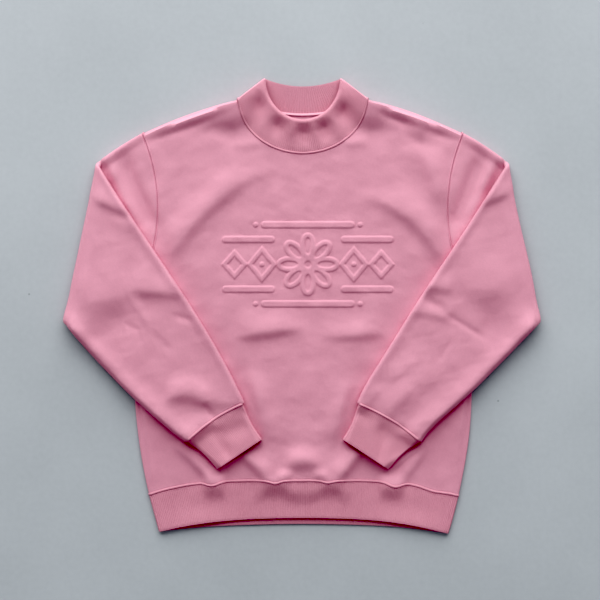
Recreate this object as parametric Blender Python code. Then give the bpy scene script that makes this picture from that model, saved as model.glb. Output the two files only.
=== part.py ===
"""Mock neck sweatshirt, laid flat on its back with both sleeves folded over the front.

Metres. +X runs across the garment, +Y from the hem to the collar, +Z up from the
surface it lies on. The origin is on that surface, under the middle of the garment.
Left and right are the wearer's, so the left sleeve lies at +X.

Every piece is a wall of cloth. The back panel lies on the surface, the front panel
lies on the back panel, and the sleeves, cuffs, hem band and collar are flattened tubes.
"""

import math
from collections import namedtuple

import bmesh
import bpy
from mathutils import Vector
from mathutils.geometry import intersect_line_line_2d

# ---------------------------------------------------------------- driving dimensions
WALL = 0.0024            # brushed fleece, and rib that is sewn double
SEAM = 0.0003            # gap between two pieces at a seam
LAYER_PITCH = 0.0032     # from the middle of one layer to the middle of the next

NECK_CORNER = Vector((0.1030, 0.3232))       # shoulder seam meets the neck seam
COLLAR_CORNER = Vector((0.0617, 0.3556))     # side end of the collar's top edge
SHOULDER = Vector((0.2505, 0.2700))          # shoulder seam meets the armhole
UNDERARM = Vector((0.2575, 0.0208))          # side seam meets the armhole
HEM_SEAM_CORNER = Vector((0.2420, -0.2966))
HEM_CORNER = Vector((0.2260, -0.3556))
SLEEVE_TIP = Vector((0.3230, 0.2232))        # upper end of the sleeve's fold
ELBOW = Vector((0.3750, -0.0265))            # lower end of the sleeve's fold
CUFF_SEAM_IN = Vector((0.0910, -0.1520))
CUFF_SEAM_OUT = Vector((0.1840, -0.2144))
CUFF_END_IN = Vector((0.0633, -0.2117))
CUFF_END_OUT = Vector((0.1341, -0.2570))

SHOULDER_ROUNDING = 0.006    # how far the shoulder seam bows out
BODY_WIDEST = Vector((0.2655, -0.0960))      # half width of the body, and where
ARMHOLE_DEEPEST = Vector((0.2253, 0.1547))
FRONT_NECK_DROP = 0.0849     # from the neck corner down to the front neck seam
BACK_NECK_DROP = 0.0258
FRONT_COLLAR_DROP = 0.0658   # from the collar's corner down to its front top edge
BACK_COLLAR_DROP = 0.0119
FRONT_HEM_SEAM_Y = -0.2750
BACK_HEM_SEAM_Y = -0.2830
FRONT_HEM_Y = -0.3352
BACK_HEM_Y = -0.3449
HEM_SEAM_CURVE = 4.0         # power of the curve from the middle to the corner
HEM_CURVE = 2.8

SLEEVE_FULLNESS = 0.008      # the folded sleeve bows out along its inner edge
CUFF_GATHER = 0.0028         # the cuff is this much narrower than the sleeve at each side
CUFF_WAIST = 0.003           # and draws in by this much at its middle
COLLAR_LIFT = 0.010          # the collar's front stands open
HEM_LIFT = 0.0008            # the hem's front edge stands a little open
BODY_DOME = 0.0020           # air between the front and the back
FOLD_LIMIT = 0.0065          # the highest that a fold rises where nothing lies on it
COVERED_LIMIT = 0.0030       # and under a folded sleeve
COVERED_MARGIN = 0.012       # that lower limit reaches this far past the sleeve,
COVERED_BLEND = 0.030        # and eases off over this distance
EDGE_FADE = 0.025            # folds die out over this distance from the outline
TAPE_HALF = 0.062
TAPE_WIDTH = 0.010
TAPE_WALL = 0.0010

NECK_SEGMENTS = 12
SHOULDER_SEGMENTS = 8
SIDE_SEGMENTS = 11
ARMHOLE_SEGMENTS = 10
CAP_SEGMENTS = 4
TURN_SEGMENTS = 5
SLEEVE_SEGMENTS = 7
CUFF_ACROSS = 6
CUFF_SEGMENTS = 3
COLLAR_SEGMENTS = 5
HEM_SEGMENTS = 3
TAPE_SEGMENTS = 12

# ---------------------------------------------------------------- heights of the layers
BACK_Z = WALL / 2                            # middle of the layer that lies on the surface
EDGE_Z = BACK_Z + WALL + SEAM                # middle of the front layer at a side seam
FRONT_Z = BACK_Z + LAYER_PITCH               # middle of the front layer away from seams
INNER_TURN = 0.0030                          # radius of the fold, front layer of the sleeve
OUTER_TURN = INNER_TURN + LAYER_PITCH
FOLD_Z = FRONT_Z + INNER_TURN
INNER_Z = FOLD_Z + INNER_TURN                # front layer of the sleeve, once folded over
OUTER_Z = FOLD_Z + OUTER_TURN
FOLD_REACH = OUTER_TURN + WALL / 2           # from the fold's axis to the outline

# ---------------------------------------------------------------- folds in the cloth
# x, y: the fold's middle; angle: degrees from +X; length and width: from the middle to
# where it has died down; height: above the cloth around it, below 0 for a trough.
Fold = namedtuple("Fold", "x y angle length width height")

BODY_FOLDS = [
    Fold(-0.146, 0.177, 36, 0.068, 0.017, 0.0042),     # drag from the right armhole
    Fold(-0.151, 0.131, 43, 0.080, 0.015, -0.0022),
    Fold(0.180, 0.153, -41, 0.064, 0.017, 0.0040),     # drag from the left armhole
    Fold(0.188, 0.112, -40, 0.054, 0.014, -0.0022),
    Fold(0.216, 0.218, -65, 0.030, 0.011, 0.0026),
    Fold(-0.220, 0.224, -60, 0.028, 0.013, 0.0024),
    Fold(-0.141, 0.288, 8, 0.046, 0.011, -0.0020),     # along the shoulders
    Fold(0.122, 0.290, -12, 0.032, 0.011, -0.0020),
    Fold(0.186, 0.263, -40, 0.028, 0.010, -0.0020),
    Fold(-0.051, -0.047, 0, 0.050, 0.014, -0.0028),    # across the belly
    Fold(0.082, -0.050, 2, 0.038, 0.012, -0.0026),
    Fold(-0.095, -0.020, 4, 0.045, 0.018, 0.0018),
    Fold(0.079, -0.020, -3, 0.042, 0.016, 0.0020),
    Fold(0.000, -0.233, 0, 0.032, 0.013, 0.0038),      # above the hem band
    Fold(0.000, -0.255, 0, 0.018, 0.010, -0.0030),
    Fold(-0.072, -0.254, -42, 0.024, 0.010, -0.0024),
    Fold(0.073, -0.254, 42, 0.024, 0.010, -0.0024),
    Fold(-0.174, -0.256, -42, 0.034, 0.012, -0.0024),
    Fold(0.169, -0.259, 42, 0.034, 0.012, -0.0024),
    Fold(-0.062, -0.186, -52, 0.036, 0.012, 0.0020),
    Fold(0.051, -0.186, 52, 0.036, 0.012, 0.0020),
    Fold(-0.255, 0.189, -80, 0.032, 0.010, -0.0018),   # down the sleeve caps
    Fold(-0.272, 0.169, -62, 0.030, 0.011, 0.0020),
    Fold(0.252, 0.192, 76, 0.030, 0.010, -0.0018),
    Fold(0.272, 0.180, 62, 0.028, 0.011, 0.0018),
]

SLEEVE_FOLDS = [
    Fold(-0.288, 0.144, -57, 0.026, 0.012, -0.0020),   # right sleeve, from its fold down
    Fold(-0.283, 0.065, 20, 0.042, 0.028, 0.0030),
    Fold(-0.289, 0.016, -5, 0.042, 0.014, -0.0022),
    Fold(-0.215, 0.016, -10, 0.028, 0.012, -0.0022),
    Fold(-0.318, -0.072, -48, 0.052, 0.014, 0.0020),
    Fold(-0.173, -0.122, -6, 0.030, 0.012, 0.0028),
    Fold(-0.166, -0.147, -12, 0.022, 0.010, -0.0028),
    Fold(0.309, 0.166, 55, 0.024, 0.012, -0.0020),     # left sleeve, from its fold down
    Fold(0.285, 0.060, -15, 0.040, 0.027, 0.0030),
    Fold(0.290, 0.012, 4, 0.036, 0.013, -0.0022),
    Fold(0.205, 0.020, 12, 0.026, 0.012, -0.0020),
    Fold(0.221, -0.063, 55, 0.034, 0.012, -0.0020),
    Fold(0.172, -0.100, 52, 0.048, 0.016, 0.0026),
    Fold(0.312, -0.058, 50, 0.040, 0.014, 0.0020),
]

# The collar's front dents in between soft ribs. around: degrees from the middle.
Dent = namedtuple("Dent", "around width height")

COLLAR_DENTS = [
    Dent(-65, 10, -0.0014),
    Dent(-38, 9, 0.0010),
    Dent(-28, 8, -0.0014),
    Dent(6, 8, -0.0016),
    Dent(24, 7, -0.0014),
    Dent(36, 9, 0.0010),
    Dent(53, 9, -0.0014),
]


# ---------------------------------------------------------------- small helpers
def lerp(a, b, t):
    return a + (b - a) * t


def smooth(t):
    """0 below 0, 1 above 1, with no corner at either end."""
    t = min(max(t, 0.0), 1.0)
    return t * t * (3 - 2 * t)


def at_height(point, z):
    return Vector((point.x, point.y, z))


def distance_to_segment(point, a, b):
    along = b - a
    t = (point - a).dot(along) / along.length_squared
    return (point - a - along * min(max(t, 0.0), 1.0)).length


def distance_to_path(point, path):
    return min(distance_to_segment(point, a, b) for a, b in zip(path, path[1:]))


def depth_inside(point, corners):
    """How far a point lies inside a convex outline, below 0 outside it."""
    depth = math.inf
    for a, b in zip(corners, corners[1:] + corners[:1]):
        edge = (b - a).normalized()
        depth = min(depth, edge.x * (point.y - a.y) - edge.y * (point.x - a.x))
    return depth


# ---------------------------------------------------------------- curves of the cut
def armhole_half(y):
    """Half width of the body between the underarm and the shoulder."""
    end = SHOULDER if y > ARMHOLE_DEEPEST.y else UNDERARM
    t = (y - ARMHOLE_DEEPEST.y) / (end.y - ARMHOLE_DEEPEST.y)
    return ARMHOLE_DEEPEST.x + (end.x - ARMHOLE_DEEPEST.x) * t * t


def side_half(y):
    """Half width of the body below the underarm."""
    t = (y - BODY_WIDEST.y) / (HEM_SEAM_CORNER.y - BODY_WIDEST.y)
    return BODY_WIDEST.x + (HEM_SEAM_CORNER.x - BODY_WIDEST.x) * t * t


def shoulder_y(x):
    t = (x - NECK_CORNER.x) / (SHOULDER.x - NECK_CORNER.x)
    return lerp(NECK_CORNER.y, SHOULDER.y, t) + SHOULDER_ROUNDING * 4 * t * (1 - t)


def neck_y(x, drop, power):
    """The neck seam: power 1 is the front's half ellipse, power 2 the back's parabola."""
    lean = max(1 - (x / NECK_CORNER.x) ** 2, 0.0)
    return NECK_CORNER.y - drop * lean ** (power / 2)


def hem_seam_y(a, middle):
    return lerp(middle, HEM_SEAM_CORNER.y, abs(a) ** HEM_SEAM_CURVE)


def hem_y(a, middle):
    return lerp(middle, HEM_CORNER.y, abs(a) ** HEM_CURVE)


# ---------------------------------------------------------------- heights of the cloth
SIDE_PATH = [
    COLLAR_CORNER.lerp(NECK_CORNER, -0.8),    # past the collar, which is open there
    NECK_CORNER,
    SHOULDER,
    SLEEVE_TIP,
    ELBOW,
    UNDERARM,
    BODY_WIDEST,
    HEM_SEAM_CORNER,
    HEM_SEAM_CORNER.lerp(HEM_CORNER, 1.8),    # past the hem, which is open too
]
SLEEVE_OUTLINE = [SLEEVE_TIP, CUFF_SEAM_IN, CUFF_END_IN, CUFF_END_OUT, CUFF_SEAM_OUT, ELBOW]


def folds_at(point, folds):
    """Sum of the soft ridges and troughs at a point."""
    height = 0.0
    for fold in folds:
        turn = math.radians(fold.angle)
        dx = point.x - fold.x
        dy = point.y - fold.y
        along = (dx * math.cos(turn) + dy * math.sin(turn)) / fold.length
        across = (dy * math.cos(turn) - dx * math.sin(turn)) / fold.width
        height += fold.height * math.exp(-along * along - across * across)
    return height


def limited(height, limit):
    """A height that levels off below the limit."""
    return height / (1 + (max(height, 0.0) / limit) ** 4) ** 0.25


def front_z(point):
    """Middle of the front layer: the front panel and the sleeves before their fold."""
    side = Vector((abs(point.x), point.y))
    fade = smooth(distance_to_path(side, SIDE_PATH) / EDGE_FADE)
    depth = depth_inside(side, SLEEVE_OUTLINE)
    under = smooth(1 + (depth + COVERED_MARGIN) / COVERED_BLEND)
    loft = BODY_DOME + folds_at(point, BODY_FOLDS)
    loft = limited(loft, lerp(FOLD_LIMIT, COVERED_LIMIT, under))
    return EDGE_Z + fade * (FRONT_Z - EDGE_Z + max(loft, 0.0))


def sleeve_top_z(point):
    """Middle of the top layer of a folded sleeve."""
    side = Vector((abs(point.x), point.y))
    fade = smooth(depth_inside(side, SLEEVE_OUTLINE) / EDGE_FADE)
    return OUTER_Z + fade * max(BODY_DOME + folds_at(point, SLEEVE_FOLDS), 0.0)


# ---------------------------------------------------------------- building blocks
def add_material(name, color, roughness):
    material = bpy.data.materials.new(name)
    material.use_nodes = True
    material.diffuse_color = (*color, 1.0)
    shader = material.node_tree.nodes["Principled BSDF"]
    shader.inputs["Base Color"].default_value = (*color, 1.0)
    shader.inputs["Roughness"].default_value = roughness
    shader.inputs["Metallic"].default_value = 0.0
    return material


def add_object(name, bm, material):
    """Turn a finished bmesh into a smooth-shaded object with its own material."""
    bmesh.ops.recalc_face_normals(bm, faces=bm.faces)
    mesh = bpy.data.meshes.new(name)
    bm.to_mesh(mesh)
    bm.free()
    mesh.shade_smooth()
    mesh.set_sharp_from_angle(angle=math.radians(50))
    mesh.materials.append(material)
    part = bpy.data.objects.new(name, mesh)
    bpy.data.collections[COLLECTION].objects.link(part)
    return part


def sheet(columns, rows, place):
    """A wall of cloth over a grid. place(i, j) is its lower face, raised by one wall."""
    bm = bmesh.new()
    bmesh.ops.create_grid(bm, x_segments=columns, y_segments=rows, size=0.5)
    for vert in bm.verts:
        i = round((vert.co.x + 0.5) * columns)
        j = round((vert.co.y + 0.5) * rows)
        vert.co = place(i, j)
    return bm


def thicken(bm, wall):
    raised = bmesh.ops.extrude_face_region(bm, geom=bm.faces[:])["geom"]
    for vert in raised:
        if isinstance(vert, bmesh.types.BMVert):
            vert.co.z += wall


# A flattened ring of cloth. start, end: outermost points of its two turned edges;
# upper, lower: middles of its two layers between the edges; up: from lower to upper.
Ring = namedtuple("Ring", "start end upper lower up")


def turned_edge(edge, toward_upper, toward_lower, up, half_gap):
    """Outer and inner points round one edge, from the upper layer to the lower one."""
    outer_radius = half_gap + WALL / 2
    inner_radius = half_gap - WALL / 2
    outer, inner = [], []
    for degrees in (90, 45, 0, -45, -90):
        rise = math.sin(math.radians(degrees))
        reach = math.cos(math.radians(degrees))
        inward = toward_upper if degrees > 0 else toward_lower
        center = edge + inward * outer_radius
        outer.append(center - inward * outer_radius * reach + up * outer_radius * rise)
        inner.append(center - inward * inner_radius * reach + up * inner_radius * rise)
    return outer, inner


def wall_loops(ring, half_gap):
    """The outer and the inner face of one ring, as closed loops of points."""
    def toward(edge, points):
        direction = points - edge
        direction -= ring.up * direction.dot(ring.up)
        return direction.normalized()

    start = turned_edge(ring.start, toward(ring.start, ring.upper[0]),
                        toward(ring.start, ring.lower[0]), ring.up, half_gap)
    end = turned_edge(ring.end, toward(ring.end, ring.upper[-1]),
                      toward(ring.end, ring.lower[-1]), ring.up, half_gap)
    loops = []
    for face, offset in enumerate((WALL / 2, -WALL / 2)):
        loop = start[face][::-1]
        loop += [point + ring.up * offset for point in ring.upper]
        loop += end[face]
        loop += [point - ring.up * offset for point in reversed(ring.lower)]
        loops.append(loop)
    return loops


def bridge(bm, loop, other):
    for k in range(len(loop)):
        following = (k + 1) % len(loop)
        bm.faces.new((loop[k], loop[following], other[following], other[k]))


def flattened_tube(name, rings, half_gaps, material):
    """A tube of cloth, open at both ends, lofted through its rings."""
    bm = bmesh.new()
    walls = []
    for ring, half_gap in zip(rings, half_gaps):
        walls.append([[bm.verts.new(point) for point in loop]
                      for loop in wall_loops(ring, half_gap)])
    for before, after in zip(walls, walls[1:]):
        bridge(bm, before[0], after[0])
        bridge(bm, before[1], after[1])
    bridge(bm, *walls[0])
    bridge(bm, *walls[-1])
    return add_object(name, bm, material)


# ---------------------------------------------------------------- the body
def column_shares():
    """Places of the body's columns, from -1 to 1 across its width, with one at each
    point of the neck seam and one on each neck corner."""
    corner = NECK_CORNER.x / SHOULDER.x
    neck = [corner * math.sin(math.pi * (k / NECK_SEGMENTS - 0.5))
            for k in range(NECK_SEGMENTS + 1)]
    outer = [lerp(corner, 1.0, k / SHOULDER_SEGMENTS)
             for k in range(1, SHOULDER_SEGMENTS + 1)]
    return [-a for a in reversed(outer)] + neck + outer


def edge_rows():
    """Heights at which the body's rows meet its side: the side seam, then the armhole."""
    side = [lerp(HEM_SEAM_CORNER.y, UNDERARM.y, k / SIDE_SEGMENTS)
            for k in range(SIDE_SEGMENTS)]
    armhole = [lerp(UNDERARM.y, SHOULDER.y, k / ARMHOLE_SEGMENTS)
               for k in range(ARMHOLE_SEGMENTS + 1)]
    return side + armhole


def panel_plan(neck_drop, neck_power, hem_seam_middle):
    """The plan of the front or the back as a function of its column and row."""
    columns = column_shares()
    rows = edge_rows()

    def plan(i, j):
        a = columns[i]
        y_edge = rows[j]
        on_side = y_edge < UNDERARM.y
        half = side_half(y_edge) if on_side else armhole_half(y_edge) - SEAM / 2
        x_top = a * SHOULDER.x
        if abs(x_top) < NECK_CORNER.x:
            top = neck_y(x_top, neck_drop, neck_power)
        else:
            top = shoulder_y(abs(x_top))
        t = (y_edge - HEM_SEAM_CORNER.y) / (SHOULDER.y - HEM_SEAM_CORNER.y)
        return Vector((a * half, lerp(hem_seam_y(a, hem_seam_middle), top, t)))

    return plan


def add_back_panel(material):
    plan = panel_plan(BACK_NECK_DROP, 2, BACK_HEM_SEAM_Y)
    bm = sheet(len(column_shares()) - 1, len(edge_rows()) - 1,
               lambda i, j: at_height(plan(i, j), 0.0))
    bmesh.ops.dissolve_limit(bm, angle_limit=math.radians(0.01),
                             verts=bm.verts, edges=bm.edges)
    thicken(bm, WALL)
    return add_object("back_panel", bm, material)


def add_front_panel(material):
    plan = panel_plan(FRONT_NECK_DROP, 1, FRONT_HEM_SEAM_Y)

    def place(i, j):
        point = plan(i, j)
        return at_height(point, front_z(point) - WALL / 2)

    bm = sheet(len(column_shares()) - 1, len(edge_rows()) - 1, place)
    thicken(bm, WALL)
    return add_object("front_panel", bm, material)


def add_hem_band(material):
    """The rib band: its back edge hangs a little below its front edge."""
    columns = column_shares()
    rings = []
    for k in range(HEM_SEGMENTS + 1):
        t = k / HEM_SEGMENTS
        half = lerp(HEM_SEAM_CORNER.x, HEM_CORNER.x, t)
        upper, lower = [], []
        for a in columns[1:-1]:
            front = Vector((a * half, lerp(hem_seam_y(a, FRONT_HEM_SEAM_Y) - SEAM,
                                           hem_y(a, FRONT_HEM_Y), t)))
            back = Vector((a * half, lerp(hem_seam_y(a, BACK_HEM_SEAM_Y) - SEAM,
                                          hem_y(a, BACK_HEM_Y), t)))
            lift = HEM_LIFT * t * (1 - a * a)
            upper.append(at_height(front, front_z(front) + lift))
            lower.append(at_height(back, BACK_Z))
        y_end = lerp(HEM_SEAM_CORNER.y - SEAM, HEM_CORNER.y, t)
        z_end = (BACK_Z + EDGE_Z) / 2
        rings.append(Ring(Vector((-half, y_end, z_end)), Vector((half, y_end, z_end)),
                          upper, lower, Vector((0, 0, 1))))
    half_gap = (EDGE_Z - BACK_Z) / 2
    return flattened_tube("hem_band", rings, [half_gap] * len(rings), material)


# ---------------------------------------------------------------- the collar
def dents_at(degrees):
    return sum(dent.height * math.exp(-((degrees - dent.around) / dent.width) ** 2)
               for dent in COLLAR_DENTS)


def add_collar(material):
    """A short standing neck: its back lies flat and its front stands open."""
    rings = []
    for k in range(COLLAR_SEGMENTS + 1):
        t = k / COLLAR_SEGMENTS
        half = lerp(NECK_CORNER.x - SEAM, COLLAR_CORNER.x, t)
        corner_y = lerp(NECK_CORNER.y + SEAM, COLLAR_CORNER.y, t)
        front_drop = lerp(FRONT_NECK_DROP, FRONT_COLLAR_DROP, t)
        back_drop = lerp(BACK_NECK_DROP, BACK_COLLAR_DROP, t)
        upper, lower = [], []
        for step in range(1, NECK_SEGMENTS):
            degrees = 180 * (step / NECK_SEGMENTS - 0.5)
            across = math.sin(math.radians(degrees))
            down = math.cos(math.radians(degrees))
            front = Vector((half * across, corner_y - front_drop * down))
            back = Vector((half * across, corner_y - back_drop * down * down))
            lift = t * COLLAR_LIFT * down + math.sin(math.pi * t * 0.8) * dents_at(degrees) * down
            upper.append(at_height(front, front_z(front) + max(lift, 0.0)))
            lower.append(at_height(back, BACK_Z))
        z_end = (BACK_Z + EDGE_Z) / 2
        rings.append(Ring(Vector((-half, corner_y, z_end)), Vector((half, corner_y, z_end)),
                          upper, lower, Vector((0, 0, 1))))
    half_gap = (EDGE_Z - BACK_Z) / 2
    return flattened_tube("collar", rings, [half_gap] * len(rings), material)


def add_neck_tape(material):
    """The strip that covers the neck seam inside the back."""
    def place(i, j):
        x = lerp(-TAPE_HALF, TAPE_HALF, i / TAPE_SEGMENTS)
        seam = neck_y(x, BACK_NECK_DROP, 2)
        return Vector((x, seam + lerp(-0.6, 0.4, j) * TAPE_WIDTH, WALL + SEAM))

    bm = sheet(TAPE_SEGMENTS, 1, place)
    thicken(bm, TAPE_WALL)
    return add_object("neck_tape", bm, material)


# ---------------------------------------------------------------- the sleeves
class SleevePlan:
    """One sleeve's lines in plan. side is 1 at the wearer's left and -1 at the right."""

    def __init__(self, side):
        self.side = side
        self.tip = self.place(SLEEVE_TIP)
        self.elbow = self.place(ELBOW)
        self.outward = self.place(Vector((-(ELBOW - SLEEVE_TIP).y,
                                          (ELBOW - SLEEVE_TIP).x)).normalized())
        self.axis = (self.tip - self.outward * FOLD_REACH,
                     self.elbow - self.outward * FOLD_REACH)
        shoulder = self.place(SHOULDER)
        underarm = self.place(UNDERARM)
        cuff_in = self.place(CUFF_SEAM_IN)
        cuff_out = self.place(CUFF_SEAM_OUT)
        self.before = (self.crossing(shoulder, self.tip), self.crossing(underarm, self.elbow))
        self.after = (self.crossing(cuff_in, self.tip), self.crossing(cuff_out, self.elbow))
        self.cuff = (cuff_in, cuff_out)

    def place(self, point):
        return Vector((point.x * self.side, point.y))

    def crossing(self, start, end):
        """Where an edge of the sleeve crosses the axis of its fold."""
        along = (self.axis[1] - self.axis[0]).normalized() * 0.05
        return intersect_line_line_2d(self.axis[0] - along, self.axis[1] + along,
                                      start, end + (end - start))


def even_ring(start, end, across, upper_z, lower_z, up):
    """A ring whose layers lie over the straight line from start to end."""
    middle_z = (upper_z + lower_z) / 2
    points = [start.lerp(end, k / across) for k in range(1, across)]
    return Ring(at_height(start, middle_z), at_height(end, middle_z),
                [at_height(point, upper_z) for point in points],
                [at_height(point, lower_z) for point in points], up)


def cap_rings(plan):
    """From the armhole to the fold, lying flat beside the body."""
    armhole = []
    for k in range(ARMHOLE_SEGMENTS + 1):
        y = lerp(SHOULDER.y, UNDERARM.y, k / ARMHOLE_SEGMENTS)
        armhole.append(plan.place(Vector((armhole_half(y) + SEAM / 2, y))))
    rings = []
    for step in range(CAP_SEGMENTS):
        t = step / CAP_SEGMENTS
        points = []
        for k, point in enumerate(armhole):
            fold_point = plan.before[0].lerp(plan.before[1], k / ARMHOLE_SEGMENTS)
            points.append(point.lerp(fold_point, t))
        edge_z = lerp(EDGE_Z, FRONT_Z, t)
        middle_z = (BACK_Z + edge_z) / 2
        upper = [at_height(point, max(front_z(point), edge_z)) for point in points[1:-1]]
        lower = [at_height(point, BACK_Z) for point in points[1:-1]]
        rings.append(Ring(at_height(points[0], middle_z), at_height(points[-1], middle_z),
                          upper, lower, Vector((0, 0, 1))))
    return rings


def turn_rings(plan):
    """Round the fold, from lying flat to lying on top."""
    rings = []
    for step in range(TURN_SEGMENTS + 1):
        share = step / TURN_SEGMENTS
        angle = math.pi * share
        start = plan.before[0].lerp(plan.after[0], share)
        end = plan.before[1].lerp(plan.after[1], share)
        reach = at_height(plan.outward, 0.0) * math.sin(angle)
        reach.z = -math.cos(angle)
        middle = reach * (INNER_TURN + OUTER_TURN) / 2
        points = [at_height(start.lerp(end, k / ARMHOLE_SEGMENTS), FOLD_Z)
                  for k in range(ARMHOLE_SEGMENTS + 1)]
        rings.append(Ring(points[0] + middle, points[-1] + middle,
                          [point + reach * INNER_TURN for point in points[1:-1]],
                          [point + reach * OUTER_TURN for point in points[1:-1]], -reach))
    return rings


def forearm_rings(plan):
    """From the fold to the cuff seam, lying over the body."""
    rings = []
    across_line = (plan.cuff[1] - plan.cuff[0]).normalized()
    for step in range(1, SLEEVE_SEGMENTS + 1):
        t = step / SLEEVE_SEGMENTS
        start = plan.after[0].lerp(plan.cuff[0], t)
        start -= across_line * SLEEVE_FULLNESS * 6.75 * t * t * (1 - t)
        end = plan.after[1].lerp(plan.cuff[1], t)
        ring = even_ring(start, end, ARMHOLE_SEGMENTS, INNER_Z, OUTER_Z, Vector((0, 0, -1)))
        lower = [at_height(point, sleeve_top_z(point.xy)) for point in ring.lower]
        rings.append(ring._replace(lower=lower))
    return rings


def add_sleeve(name, plan, material):
    cap = cap_rings(plan)
    folded = turn_rings(plan) + forearm_rings(plan)
    half_gaps = [(lerp(EDGE_Z, FRONT_Z, k / CAP_SEGMENTS) - BACK_Z) / 2
                 for k in range(CAP_SEGMENTS)]
    half_gaps += [LAYER_PITCH / 2] * len(folded)
    return flattened_tube(name, cap + folded, half_gaps, material)


def add_cuff(name, plan, material):
    across_line = (plan.cuff[1] - plan.cuff[0]).normalized()
    down_line = Vector((across_line.y, -across_line.x)) * plan.side
    start = (plan.cuff[0] + across_line * CUFF_GATHER - down_line * -SEAM,
             plan.cuff[1] - across_line * CUFF_GATHER - down_line * -SEAM)
    end = (plan.place(CUFF_END_IN), plan.place(CUFF_END_OUT))
    rings = []
    for step in range(CUFF_SEGMENTS + 1):
        t = step / CUFF_SEGMENTS
        waist = across_line * CUFF_WAIST * math.sin(math.pi * t)
        rings.append(even_ring(start[0].lerp(end[0], t) + waist,
                               start[1].lerp(end[1], t) - waist,
                               CUFF_ACROSS, INNER_Z, OUTER_Z, Vector((0, 0, -1))))
    return flattened_tube(name, rings, [LAYER_PITCH / 2] * len(rings), material)


# ---------------------------------------------------------------- the garment
COLLECTION = "mock_neck_sweatshirt"


def clear_scene():
    for old in list(bpy.data.objects):
        bpy.data.objects.remove(old, do_unlink=True)


def main():
    clear_scene()
    collection = bpy.data.collections.new(COLLECTION)
    bpy.context.scene.collection.children.link(collection)
    fleece = (0.68, 0.33, 0.42)
    rib = (0.50, 0.20, 0.27)
    add_back_panel(add_material("back_fleece", fleece, 0.95))
    add_front_panel(add_material("front_fleece", fleece, 0.95))
    add_hem_band(add_material("hem_rib", rib, 0.92))
    add_collar(add_material("collar_rib", rib, 0.92))
    add_neck_tape(add_material("neck_tape_cloth", fleece, 0.9))
    for word, side in (("left", 1), ("right", -1)):
        plan = SleevePlan(side)
        add_sleeve(word + "_sleeve", plan, add_material(word + "_sleeve_fleece", fleece, 0.95))
        add_cuff(word + "_cuff", plan, add_material(word + "_cuff_rib", rib, 0.92))


if __name__ == "__main__":
    main()
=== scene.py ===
"""Looks of a mock neck sweatshirt that lies flat on its back, sleeves folded over the front.

Metres. +X runs across the garment, +Y from the hem to the collar, +Z up from the floor.
Left and right are the wearer's, so the left sleeve lies at +X.

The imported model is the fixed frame. Each cloth piece stands for one of its nodes and follows
the same lines of the cut, with the folds, ribs, seams and stitches of the real cloth.
"""

import math
from collections import namedtuple

import bmesh
import bpy
import numpy as np
from bpy.props import FloatProperty, FloatVectorProperty, IntProperty, PointerProperty
from bpy.types import Operator, Panel, PropertyGroup
from mathutils import Matrix, Vector
from mathutils.geometry import intersect_line_line_2d


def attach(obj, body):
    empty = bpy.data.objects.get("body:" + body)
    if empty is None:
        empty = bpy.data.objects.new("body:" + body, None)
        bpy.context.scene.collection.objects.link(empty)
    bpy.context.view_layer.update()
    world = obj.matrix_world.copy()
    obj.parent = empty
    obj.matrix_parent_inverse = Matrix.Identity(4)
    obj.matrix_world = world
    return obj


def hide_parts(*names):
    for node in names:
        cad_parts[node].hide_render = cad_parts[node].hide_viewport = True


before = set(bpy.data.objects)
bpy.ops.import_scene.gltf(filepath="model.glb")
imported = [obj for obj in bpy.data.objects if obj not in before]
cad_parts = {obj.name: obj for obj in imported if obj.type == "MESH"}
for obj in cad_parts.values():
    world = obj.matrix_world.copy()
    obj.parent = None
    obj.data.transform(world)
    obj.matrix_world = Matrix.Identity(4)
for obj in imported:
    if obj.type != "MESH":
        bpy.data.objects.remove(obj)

bl_info = {
    "name": "Mock neck sweatshirt",
    "version": (1, 0, 0),
    "blender": (4, 5, 0),
    "location": "3D View > Sidebar > Sweatshirt",
    "description": "Makes the cloth, seams and stage of a sweatshirt that lies flat",
    "category": "Object",
}

# ---------------------------------------------------------------- lines of the cut
WALL = 0.0024            # brushed fleece, and rib that is sewn double
SEAM = 0.0003            # gap between two pieces at a seam
LAYER_PITCH = 0.0032     # from the middle of one layer to the middle of the next

NECK_CORNER = Vector((0.1030, 0.3232))       # shoulder seam meets the neck seam
COLLAR_CORNER = Vector((0.0617, 0.3556))     # side end of the collar's top edge
SHOULDER = Vector((0.2505, 0.2700))          # shoulder seam meets the armhole
UNDERARM = Vector((0.2575, 0.0208))          # side seam meets the armhole
HEM_SEAM_CORNER = Vector((0.2420, -0.2966))
HEM_CORNER = Vector((0.2260, -0.3556))
SLEEVE_TIP = Vector((0.3230, 0.2232))        # upper end of the sleeve's fold
ELBOW = Vector((0.3750, -0.0265))            # lower end of the sleeve's fold
CUFF_SEAM_IN = Vector((0.0910, -0.1520))
CUFF_SEAM_OUT = Vector((0.1840, -0.2144))
CUFF_END_IN = Vector((0.0640, -0.2098))
CUFF_END_OUT = Vector((0.1341, -0.2570))

SHOULDER_ROUNDING = 0.006    # how far the shoulder seam bows out
BODY_WIDEST = Vector((0.2655, -0.0960))      # half width of the body, and where
ARMHOLE_DEEPEST = Vector((0.2253, 0.1547))
FRONT_NECK_DROP = 0.0849     # from the neck corner down to the front neck seam
BACK_NECK_DROP = 0.0258
FRONT_COLLAR_DROP = 0.0658   # from the collar's corner down to its front top edge
BACK_COLLAR_DROP = 0.0119
FRONT_HEM_SEAM_Y = -0.2750
BACK_HEM_SEAM_Y = -0.2830
FRONT_HEM_Y = -0.3352
BACK_HEM_Y = -0.3449
HEM_SEAM_CURVE = 4.0         # power of the curve from the middle to the corner
HEM_CURVE = 2.8

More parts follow.
